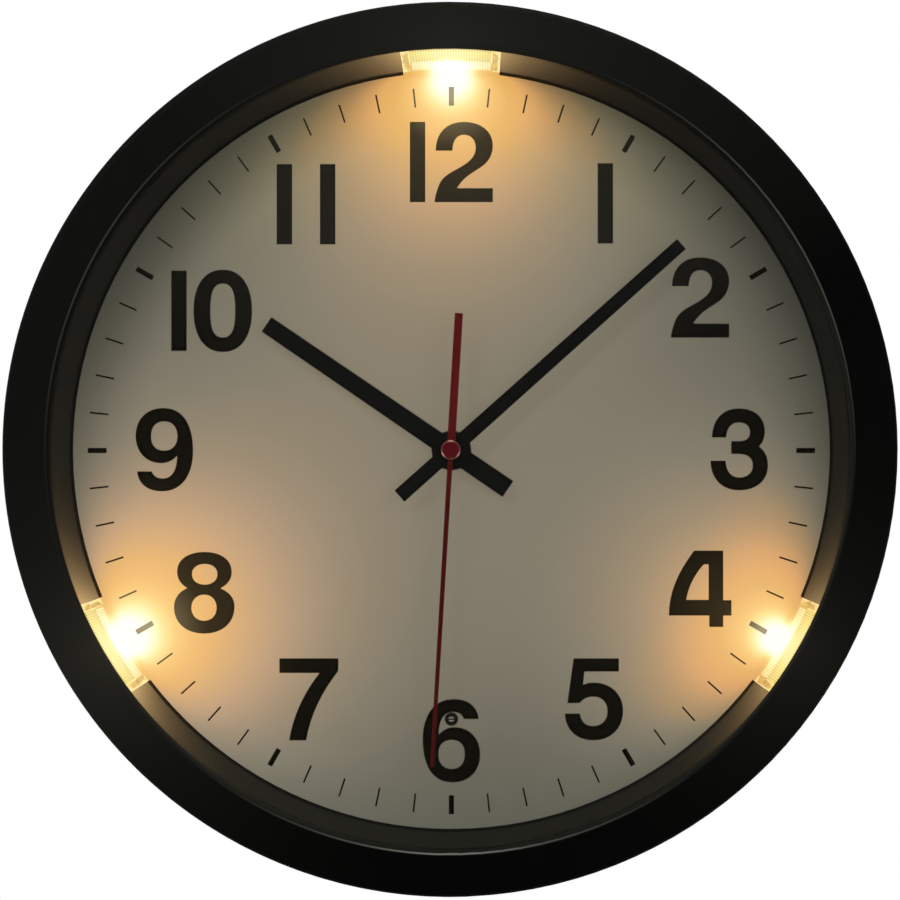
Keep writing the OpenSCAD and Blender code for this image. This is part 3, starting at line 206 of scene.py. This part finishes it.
    def lamp_near(self, reach):
        """Faint spill round the three lamps: a lamp's strength at the lamp, half at each reach away."""
        flat = self.flat()
        total = 0.0
        for way, power in zip(LAMP_WAYS, LAMP_POWERS):
            far = self.vec("LENGTH", self.vec("SUBTRACT", flat, tuple(LAMP_R * k for k in way)))
            glow = self.math("POWER", 0.5, self.math("DIVIDE", far, reach))
            total = self.math("ADD", total, self.times(glow, power))
        return total

    def lobes(self, sign, sharp, weights, floor=0.0):
        """Sum of lobes toward the lamps (sign 1) or straight across from them (sign -1), over a floor."""
        out = self.radial()[1]
        total = floor
        for way, weight in zip(LAMP_WAYS, weights):
            facing = self.math("MULTIPLY", self.dot(out, way), sign, clamp=True)
            total = self.math("ADD", total, self.times(self.math("POWER", facing, sharp), weight))
        return total

    def lamp_light(self, power=1.5, off_axis=0.5, least=0.002):
        """Light of the three lamps at a point of the dial side, about 1 at the middle of the dial."""
        flat = self.flat()
        total = None
        for way, strength in zip(LAMP_WAYS, LAMP_POWERS):
            ray = self.vec("SUBTRACT", flat, tuple(LAMP_R * k for k in way))
            far = self.math("MAXIMUM", self.vec("LENGTH", ray), least)
            ahead = self.math("MAXIMUM", self.dot(ray, tuple(-k for k in way)), least)
            aim = self.math("POWER", self.math("DIVIDE", ahead, far, clamp=True), off_axis)
            glow = self.times(aim, self.math("POWER", self.math("DIVIDE", LAMP_R, far), power))
            part = self.times(glow, strength / sum(LAMP_POWERS))
            total = part if total is None else self.math("ADD", total, part)
        return total

    def log_place(self, value, low, high):
        """Where a value lies between two powers of two, from 0 to 1."""
        return self.rise(self.math("LOGARITHM", self.math("MAXIMUM", value, 0.01), 2.0), low, high)


def wear(m, *names):
    for name in names:
        o = nodes[name]
        o.data.materials.clear()
        o.data.materials.append(m.mat)


# Moulded plastics

def moulded(name, dark, light, rough, grain=1400.0, depth=0.00004, strength=0.25, spec=0.35):
    m = Mat(name)
    m.tone = m.mottle(m.noise(60.0, 4.0), dark, light)
    m.set(base=m.tone, rough=m.vary(m.noise(220.0), rough - 0.05, rough + 0.05), spec=spec)
    m.bump(m.noise(grain, 2.0), depth, strength)
    return m


# Front frame: near black, with faint light of the room and the lamps, and a fine line of light on its lip
ROOM_SIDE, ROOM_TOP, LIT_BORE = (-0.8, 0.0, 0.6), (0.2, 0.0, 0.98), (0.6, 0.0, -0.8)
SPILL_HALF = 0.019
black = moulded("frame_satin_black", (0.0004, 0.0004, 0.00035), (0.0007, 0.0007, 0.0006), 0.42, spec=0.013)
reach, out = black.radial()
spill = black.tint((0.0100, 0.0095, 0.0072), black.lamp_near(SPILL_HALF))
spill = black.tint(spill, black.span(black.dot(out, DOWN), 1.0, 1.6, -0.2, 0.5))
room = black.math("ADD", black.span(black.dot(out, ROOM_SIDE), 0.0, 0.0034, -0.5, 0.9),
                  black.span(black.dot(out, ROOM_TOP), 0.0, 0.0036, 0.6, 1.0))
spill = black.plus(spill, black.tint((1.0, 1.0, 0.86), room))
turn = black.band(reach, LIP_R + 0.35 * LIP_EDGE, LIP_R + 0.55 * LIP_EDGE,
                  LIP_R + 0.6 * LIP_EDGE, LIP_R + 0.8 * LIP_EDGE)
shine = black.math("ADD", black.lobes(-1.0, 86.0, (0.06, 0.0, 0.0)), black.lobes(-1.0, 12.0, (0.06, 0.022, 0.042)))
edge = black.tint((1.5, 1.45, 1.25), black.times(turn, shine))
# Painted light on the inner face of the lip toward the lower right, in the tone of the lit ring wall
bore_light = black.times(black.drop(reach, LIP_R + 0.25 * LIP_EDGE, LIP_R + 0.5 * LIP_EDGE),
                   black.rise(black.dot(out, LIT_BORE), -0.2, 0.3))
edge = black.plus(edge, black.tint((0.0095, 0.0095, 0.0075), bore_light))
# Its side wall, past the rounded rim, is lighter: a painted sheen, set as a lighter base than the front of the same
# black plastic
side = black.rise(reach, RIM_R - 0.0005, RIM_R - 0.0002)
wall = black.mottle(black.noise(60.0, 4.0), (0.0075, 0.0075, 0.007), (0.011, 0.011, 0.0105))
black.set(base=black.mix(side, black.tone, wall), emit=black.plus(spill, edge), emit_k=1.0)
wear(black, "front_frame")

# Other plastics: case and door, movement, switch
wear(moulded("rear_textured_black", (0.012, 0.012, 0.012), (0.019, 0.019, 0.018), 0.62,
             grain=900.0, depth=0.00012, strength=0.5), "rear_case", "battery_door")
wear(moulded("movement_black", (0.016, 0.016, 0.018), (0.024, 0.024, 0.026), 0.5, grain=1100.0),
     "movement_front", "movement_rear", "set_knob")
wear(moulded("switch_grey", (0.30, 0.30, 0.29), (0.38, 0.38, 0.36), 0.5), "switch_body", "switch_slider")

# Ring wall: warm dark grey, with painted light of the lamps beside them, more so toward the front, and a dark line
# of painted shadow at its foot
LAMP_LIGHT_HALF, LAMP_LIGHT_POWER = 0.008, 1.2
FRONT_LAMP_LIGHT, FOOT_LAMP_LIGHT, FOOT_SHADE_LEVEL = 1.45, 0.6, 0.04
ring = Mat("ring_wall_grey")
near = ring.math("POWER", ring.lamp_near(LAMP_LIGHT_HALF), LAMP_LIGHT_POWER)
depth = ring.dot(ring.coord, TO_WALL)
# Painted shadow: near the dial the base and the painted lamp light go dark
foot = ring.span(depth, 1.0, FOOT_SHADE_LEVEL, DIAL_Y - 0.0038, DIAL_Y - 0.0028)
front = ring.span(depth, FRONT_LAMP_LIGHT, FOOT_LAMP_LIGHT, DIAL_Y - 0.020, DIAL_Y - 0.0035)
lamp_light_tan = ring.tint(ring.tint((2.1, 1.33, 0.58), near), ring.times(foot, front))
grey = ring.mottle(ring.noise(80.0, 4.0), (0.024, 0.0235, 0.0175), (0.031, 0.030, 0.0225))
ring.set(base=ring.tint(grey, foot), rough=ring.vary(ring.noise(300.0), 0.42, 0.52),
         emit=lamp_light_tan, emit_k=1.0, spec=0.03)
ring.bump(ring.noise(1300.0, 2.0), 0.00004, 0.25)
wear(ring, "inner_ring")

# Dial: matt print, lit from its edge by the three lamps
EDGE_SHADE = 0.46
SHADE_AT, LIFT_AT, GOLD_AT = (0.108, 0.133), (0.106, 0.132), (0.080, 0.110)
FLANK_FROM, FLANK_TO = (0.093, 0.106), (0.116, 0.122)
LIFT, FLANK, GOLD, PALE = (0.026, 0.027, 0.022), (1.29, 1.1, 0.85), (0.99, 1.0, 0.84), (1.02, 1.04, 1.16)
dial = Mat("dial_matt_print")
lit = dial.lamp_light()
reach, out = dial.radial()
to_12, to_8 = dial.dot(out, UP), dial.dot(out, LAMP_WAYS[2])
glow = dial.ramp(dial.log_place(lit, -1.0, 5.0),
                 (0.0, (0.016, 0.02, 0.016)), (0.083, (0.089, 0.083, 0.058)), (0.167, (0.187, 0.160, 0.113)),
                 (0.242, (0.323, 0.229, 0.133)), (0.333, (0.541, 0.321, 0.152)), (0.467, (0.808, 0.435, 0.128)),
                 (0.583, (0.945, 0.538, 0.165)), (0.65, (0.985, 0.622, 0.206)), (0.729, (1.0, 0.81, 0.315)),
                 (0.80, (1.03, 0.97, 0.54)), (0.9, (1.05, 1.03, 0.88)), (1.0, (1.05, 1.05, 0.98)))
# The ring shades the upper edge away from the lamps
rim = dial.times(dial.rise(reach, *SHADE_AT), dial.rise(to_12, -0.45, 0.6))
rim = dial.times(rim, dial.drop(lit, 1.1, 2.6))
shade = dial.math("SUBTRACT", 1.0, dial.times(rim, EDGE_SHADE))
# Painted light keeps the lower edge a little lighter
lift = dial.times(dial.rise(reach, *LIFT_AT), dial.rise(dial.dot(out, DOWN), 0.6, 0.95))
glow = dial.plus(glow, dial.tint(LIFT, lift))
# Beside the lamps at 12 and 4 the painted lamp light at the edge is warmer, at 12 in a narrower strip
top = dial.rise(to_12, 0.6, 0.9)
flank = dial.rise(reach, dial.span(top, *FLANK_FROM), dial.span(top, *FLANK_TO))
flank = dial.times(dial.times(flank, dial.band(lit, 0.8, 1.2, 2.0, 3.6)), dial.drop(to_8, 0.55, 0.85))
glow = dial.mix(flank, glow, dial.tint(glow, FLANK))
# To both sides of the lamp at 12 the glow is golden
ray = dial.vec("SUBTRACT", dial.coord, (0.0, DIAL_Y, AXIS_Z + LAMP_R))
aim = dial.math("DIVIDE", dial.dot(ray, DOWN), dial.vec("LENGTH", ray))
gold = dial.times(dial.drop(aim, 0.80, 0.95), dial.rise(to_12, 0.55, 0.8))
gold = dial.times(gold, dial.times(dial.rise(reach, *GOLD_AT), dial.drop(lit, 4.0, 7.0)))
glow = dial.mix(gold, glow, dial.tint(glow, GOLD))
# Toward the lamp at 8 it is paler
pale = dial.times(dial.rise(to_8, 0.75, 0.95), dial.band(lit, 1.0, 1.5, 2.8, 4.8))
glow = dial.mix(pale, glow, dial.tint(glow, PALE))
# Only the front of the plate is lit
face = dial.drop(dial.dot(dial.coord, TO_WALL), DIAL_Y + 0.0002, DIAL_Y + 0.0005)
glow = dial.tint(glow, dial.times(shade, face))
grain = dial.noise(900.0)
paper = dial.mix(dial.rise(dial.noise(14.0, 2.0), 0.35, 0.65), (0.088, 0.083, 0.070), (0.094, 0.089, 0.074))
dial.set(base=dial.tint(paper, shade), rough=dial.vary(grain, 0.62, 0.74), emit=glow, emit_k=1.0, spec=0.1)
dial.bump(grain, 0.00003, 0.15)
wear(dial, "dial_plate")

# Ink on the dial: black, with painted lamp light in a brownish tone where a lamp grazes it, and faint painted room
# light on the upper print
ink = Mat("dial_ink_black")
lamp_glow_brown = ink.ramp(ink.log_place(ink.lamp_light(), -1.0, 4.0),
                 (0.0, (0.0, 0.0, 0.0)), (0.3, (0.004, 0.0028, 0.001)), (0.6, (0.040, 0.026, 0.0095)),
                 (0.8, (0.17, 0.125, 0.06)), (1.0, (0.42, 0.34, 0.20)))
room_glow = ink.tint((0.010, 0.010, 0.0075), ink.rise(ink.dot(ink.radial()[1], UP), 0.35, 0.95))
ink.set(base=ink.mottle(ink.noise(500.0), (0.0010, 0.0008, 0.0004), (0.0017, 0.0014, 0.0007)),
        rough=ink.vary(ink.noise(1200.0), 0.55, 0.68), emit=ink.plus(lamp_glow_brown, room_glow), emit_k=1.0, spec=0.01)
wear(ink, "hour_numerals", "minute_track")


# Painted hands, cap and blackened nut

def painted(name, dark, light, rough, spec):
    m = Mat(name)
    m.tone = m.mottle(m.noise(90.0, 4.0), dark, light)
    m.set(base=m.tone, rough=m.vary(m.noise(700.0, 2.0), rough - 0.06, rough + 0.06), spec=spec)
    m.bump(m.noise(1600.0, 2.0), 0.00002, 0.2)
    return m


wear(painted("hand_black_paint", (0.0019, 0.0018, 0.0011), (0.0030, 0.0028, 0.0018), 0.5, 0.03),
     "hour_hand", "minute_hand")
# Painted light: the second hand's tail is a little lighter than its tip
red = painted("hand_red_paint", (0.084, 0.0042, 0.0038), (0.107, 0.0056, 0.0055), 0.45, 0.03)
tail = red.span(red.dot(red.vec("SUBTRACT", red.coord, AXIS_FOOT), UP), 0.85, 1.35, -0.015, 0.015)
red.set(base=red.tint(red.tone, tail))
wear(red, "second_hand")
# The cap's rounded rim glints toward each lamp
cap = painted("cap_red", (0.095, 0.0025, 0.0040), (0.116, 0.0036, 0.0055), 0.35, 0.03)
rim = cap.band(cap.radial()[0], CAP_R - 0.0006, CAP_R - 0.0004, CAP_R - 0.00015, CAP_R)
glint = cap.lobes(1.0, 24.0, (0.55, 0.4, 0.5), floor=0.06)
cap.set(emit=cap.tint((1.0, 0.6, 0.5), cap.times(rim, glint)), emit_k=1.0)
wear(cap, "second_hand_cap")
wear(painted("nut_blackened", (0.006, 0.006, 0.0055), (0.011, 0.011, 0.010), 0.45, 0.2),
     "mounting_nut", "nut_washer")

# Clear ribbed lens: a pale outer band, a hotter inner band by the dial, and a block with a wavy patch at each end
LENS_HALF, LENS_END, LENS_SEAM = 0.01675, 0.0028, 0.0001
LENS_FOOT_R = 0.1329
LENS_TOP = DIAL_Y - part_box("light_lens_12")[0][1]
SPOT_HALF, SPOT_FALL = 0.011, 1.5
RIBS_PER_METRE = 350.0
BLOCK_AT = LENS_HALF - LENS_END
PATCH_STRETCH = (1.0, 0.35, 1.0)


def lens(angle, warm):
    m = Mat("lens_clear_%d" % angle)
    sine, _, cosine = clock_way(angle)
    here = m.vec("SUBTRACT", m.coord, (0.0, DIAL_Y, AXIS_Z))
    turn = m.math("DIVIDE", m.dot(here, (cosine, 0.0, -sine)), m.radial()[0])
    along = m.times(m.math("ABSOLUTE", turn), LENS_FOOT_R)
    high = m.times(m.dot(here, OFF_WALL), 1.0 / LENS_TOP)
    bands = m.ramp(high, (0.0, (0.86, 0.64, 0.26)), (0.07, (0.94, 0.87, 0.54)), (0.40, (0.95, 0.89, 0.60)),
                   (0.47, (0.86, 0.74, 0.36)), (0.53, (0.86, 0.77, 0.34)), (0.90, (0.88, 0.80, 0.32)),
                   (1.0, (0.74, 0.60, 0.25)))
    spot = m.vec("LENGTH", m.place(m.math("DIVIDE", along, SPOT_HALF), m.times(high, SPOT_FALL)))
    hot = m.ramp(spot, (0.25, (0.75, 0.72, 0.62)), (0.8, (0.16, 0.13, 0.06)), (1.0, (0.0, 0.0, 0.0)))
    fall = m.ramp(m.rise(along, 0.0, LENS_HALF), (0.0, (1.06, 1.06, 1.1)), (0.5, (1.0, 0.98, 0.94)),
                  (0.82, (0.86, 0.82, 0.72)))
    ribs = m.wave("X", 1.0, m.place(m.times(along, RIBS_PER_METRE), 0.0))
    lines = m.ramp(ribs, (0.0, (0.93, 0.915, 0.87)), (1.0, (1.04, 1.04, 1.03)))
    body = m.plus(m.tint(m.tint(bands, fall), lines), hot)
    sway = m.vary(m.noise(420.0, 1.0, stretch=PATCH_STRETCH), -0.18, 0.18)
    heave = m.vary(m.noise(520.0, 1.0, stretch=PATCH_STRETCH), -0.10, 0.10)
    end = m.math("ADD", m.rise(along, BLOCK_AT, LENS_HALF), sway)
    patch = m.times(m.band(end, -0.08, 0.14, 0.64, 0.82), m.band(m.math("ADD", high, heave), 0.03, 0.14, 0.82, 0.95))
    inner = m.ramp(m.noise(480.0, 1.0, stretch=PATCH_STRETCH),
                   (0.35, (0.52, 0.335, 0.115)), (0.65, (0.74, 0.53, 0.185)))
    block = m.mix(patch, m.ramp(end, (0.0, (0.88, 0.72, 0.30)), (1.0, (0.96, 0.82, 0.42))), inner)
    shade = m.mix(m.rise(along, BLOCK_AT - LENS_SEAM, BLOCK_AT + LENS_SEAM), body, block)
    m.set(base=m.mix(ribs, (0.05, 0.042, 0.024), (0.07, 0.058, 0.034)), rough=m.vary(m.noise(900.0), 0.1, 0.2),
          emit=m.tint(shade, warm), emit_k=1.0, spec=0.3)
    m.bump(ribs, 0.0001, 0.3)
    return m


LENS_WARMTH = ((1.0, 1.0, 1.0), (0.97, 0.88, 0.72), (1.0, 0.97, 0.9))
lenses = []
for (hour, angle, _), warm in zip(LAMPS, LENS_WARMTH):
    lenses.append(lens(angle, warm))
    wear(lenses[-1], "light_lens_%d" % hour)

# Lamp boards and light sources
board = Mat("lamp_board_white")
board.set(base=board.mottle(board.noise(150.0), (0.68, 0.68, 0.64), (0.76, 0.76, 0.72)),
          rough=board.vary(board.noise(400.0), 0.35, 0.5))
wear(board, "led_board_12", "led_board_4", "led_board_8")
led = Mat("led_amber")
led.set(base=led.mottle(led.noise(700.0), (0.8, 0.55, 0.2), (0.9, 0.65, 0.25)), rough=0.3,
        emit=led.mottle(led.noise(300.0), (1.0, 0.62, 0.2), (1.0, 0.7, 0.28)), emit_k=3.0)
wear(led, "led_12", "led_4", "led_8")

# Front glass: thin, clear, with faint marks in its polish
glass = Mat("front_glass")
clear = glass.node("ShaderNodeBsdfTransparent")
clear.inputs[0].default_value = (0.985, 0.99, 0.985, 1.0)
shine = glass.node("ShaderNodeBsdfGlossy")
glass.put(shine.inputs["Roughness"], glass.vary(glass.noise(30.0, 5.0), 0.02, 0.06))
shine.inputs["Color"].default_value = (0.1, 0.1, 0.1, 1.0)
fresnel = glass.node("ShaderNodeFresnel")
fresnel.inputs["IOR"].default_value = 1.3
blend = glass.node("ShaderNodeMixShader")
for source, socket in zip((fresnel, clear, shine), blend.inputs):
    glass.link(source.outputs[0], socket)
glass.link(blend.outputs[0], glass.out.inputs[0])
wear(glass, "front_glass")


# Metals

def metal(name, dark, light, rough, stretch=(1.0, 1.0, 8.0)):
    m = Mat(name)
    lines = m.noise(500.0, rough=0.6, stretch=stretch)
    m.set(base=m.mottle(lines, dark, light), rough=m.vary(lines, rough - 0.06, rough + 0.08), metal=1.0)
    m.bump(lines, 0.00002, 0.15)
    return m


wear(metal("plated_steel", (0.46, 0.46, 0.45), (0.6, 0.6, 0.58), 0.32),
     "case_screws", "stator", "coil_core", "quartz_crystal")
wear(metal("contact_plate", (0.55, 0.5, 0.38), (0.66, 0.6, 0.46), 0.3),
     "light_contacts", "contact_plus", "contact_minus")
wear(metal("copper_winding", (0.42, 0.16, 0.06), (0.58, 0.25, 0.1), 0.35, stretch=(40.0, 1.0, 1.0)), "coil")
wear(metal("magnet_grey", (0.16, 0.16, 0.17), (0.24, 0.24, 0.25), 0.45), "rotor_magnet")

# White moulded wheels
wear(moulded("wheel_white", (0.62, 0.62, 0.57), (0.70, 0.70, 0.65), 0.4), "seconds_wheel", "minute_arbor",
     "hour_wheel", "centre_wheel", "third_wheel", "fifth_wheel", "rotor", "motion_wheel", "set_shaft")

# Boards, chips, rubber and leads
wear(moulded("board_green", (0.010, 0.075, 0.028), (0.016, 0.10, 0.038), 0.35), "control_board", "movement_board")
wear(moulded("chip_black", (0.010, 0.010, 0.010), (0.016, 0.016, 0.016), 0.45), "control_chip", "movement_chip")
wear(moulded("rubber_black", (0.012, 0.012, 0.012), (0.02, 0.02, 0.02), 0.65),
     "dial_gasket", "battery_wires", "switch_wires")
wear(moulded("lead_red", (0.22, 0.014, 0.012), (0.28, 0.02, 0.016), 0.5), "led_wires")

# Light sensor: dark disc with a fine lighter winding track in its middle
sensor = Mat("light_sensor")
low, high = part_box("light_sensor")
mid = [(a + b) / 2 for a, b in zip(low, high)]
here = sensor.vec("SUBTRACT", sensor.coord, (mid[0], 0.0, mid[2]))
track = sensor.wave("Z", 300.0, here, distortion=1.5)
rim = sensor.rise(sensor.vec("LENGTH", sensor.vec("MULTIPLY", here, IN_DIAL)), 0.0009, 0.0011)
face = sensor.ramp(track, (0.35, (0.02, 0.012, 0.008)), (0.65, (0.42, 0.38, 0.30)))
sensor.set(base=sensor.mix(rim, face, (0.004, 0.004, 0.0035)), rough=0.4, spec=0.05)
wear(sensor, "light_sensor")

# Cells: plain printed sleeves with a pale band at each end
SLEEVE_HALF, SLEEVE_SEAM = 0.0150, 0.0002


def sleeve(node):
    m = Mat("cell_sleeve_" + node)
    low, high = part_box(node)
    middle = ((low[0] + high[0]) / 2, 0.0, 0.0)
    from_mid = m.math("ABSOLUTE", m.dot(m.vec("SUBTRACT", m.coord, middle), (1.0, 0.0, 0.0)))
    band = m.rise(from_mid, SLEEVE_HALF, SLEEVE_HALF + SLEEVE_SEAM)
    green = m.mottle(m.noise(120.0), (0.03, 0.11, 0.05), (0.045, 0.14, 0.065))
    m.set(base=m.mix(band, green, (0.42, 0.40, 0.36)), rough=m.vary(m.noise(300.0), 0.28, 0.36), metal=0.3)
    return m


for name in ("light_cells", "movement_cell"):
    wear(sleeve(name), name)

# The glow is seen as it is and isn't sampled as a light
for m in (black, ring, dial, ink, cap, *lenses):
    m.mat.cycles.emission_sampling = "NONE"


# Floor, light and camera

def area(name, place, target, size, power):
    data = bpy.data.lights.new(name, "AREA")
    data.shape = "DISK"
    data.size = size
    data.energy = power
    o = bpy.data.objects.new(name, data)
    o.location = place
    o.rotation_euler = (Vector(target) - Vector(place)).to_track_quat("-Z", "Y").to_euler()
    bpy.context.collection.objects.link(o)


CENTRE = (0.0, FRONT_Y, AXIS_Z)
area("key", (-0.9, -1.3, 0.9), CENTRE, 0.9, 16.0)
area("fill", (0.9, -1.5, 0.1), CENTRE, 1.0, 7.0)
area("back", (0.4, 1.4, 0.6), AXIS_FOOT, 1.0, 14.0)

FLOOR_Z, FLOOR_HALF = AXIS_Z - 0.9, 3
mesh = bpy.data.meshes.new("floor")
corners = ((-1, -1), (1, -1), (1, 1), (-1, 1))
mesh.from_pydata([(x * FLOOR_HALF, y * FLOOR_HALF, FLOOR_Z) for x, y in corners], [], [(0, 1, 2, 3)])
floor = bpy.data.objects.new("floor", mesh)
bpy.context.collection.objects.link(floor)
ground = Mat("floor_pale")
ground.set(base=ground.mottle(ground.noise(3.0), (0.84, 0.84, 0.84), (0.86, 0.86, 0.86)), rough=0.9, spec=0.1)
floor.data.materials.append(ground.mat)

# White where it is seen, mirrored or looked through to, and soft where it lights the clock
SEEN_LEVEL, SOFT_LEVEL = 1.0, 0.45
scene = bpy.context.scene
scene.world = bpy.data.worlds.new("studio")
scene.world.use_nodes = True
tree = scene.world.node_tree
tree.nodes.clear()
path = tree.nodes.new("ShaderNodeLightPath")
seen_by = path.outputs["Is Camera Ray"]
for kind in ("Is Glossy Ray", "Is Transmission Ray"):
    either = tree.nodes.new("ShaderNodeMath")
    either.operation = "MAXIMUM"
    tree.links.new(seen_by, either.inputs[0])
    tree.links.new(path.outputs[kind], either.inputs[1])
    seen_by = either.outputs[0]
pick = tree.nodes.new("ShaderNodeMixShader")
tree.links.new(seen_by, pick.inputs[0])
for level, socket in zip((SOFT_LEVEL, SEEN_LEVEL), pick.inputs[1:]):
    white = tree.nodes.new("ShaderNodeBackground")
    white.inputs[0].default_value = (1.0, 1.0, 1.0, 1.0)
    white.inputs[1].default_value = level
    tree.links.new(white.outputs[0], socket)
tree.links.new(pick.outputs[0], tree.nodes.new("ShaderNodeOutputWorld").inputs[0])

CAMERA_FAR, CAMERA_RIGHT, CAMERA_LOW = 0.676, 0.015, 0.012
scene.view_settings.view_transform = "Standard"
camera = bpy.data.objects.new("camera", bpy.data.cameras.new("camera"))
bpy.context.collection.objects.link(camera)
camera.location = (CAMERA_RIGHT, FRONT_Y - CAMERA_FAR, AXIS_Z - CAMERA_LOW)
camera.rotation_euler = (math.pi / 2, 0.0, 0.0)
camera.data.sensor_width = 36.0
camera.data.lens = 79.66
camera.data.shift_x = -0.0490
camera.data.shift_y = 0.0385
scene.camera = camera
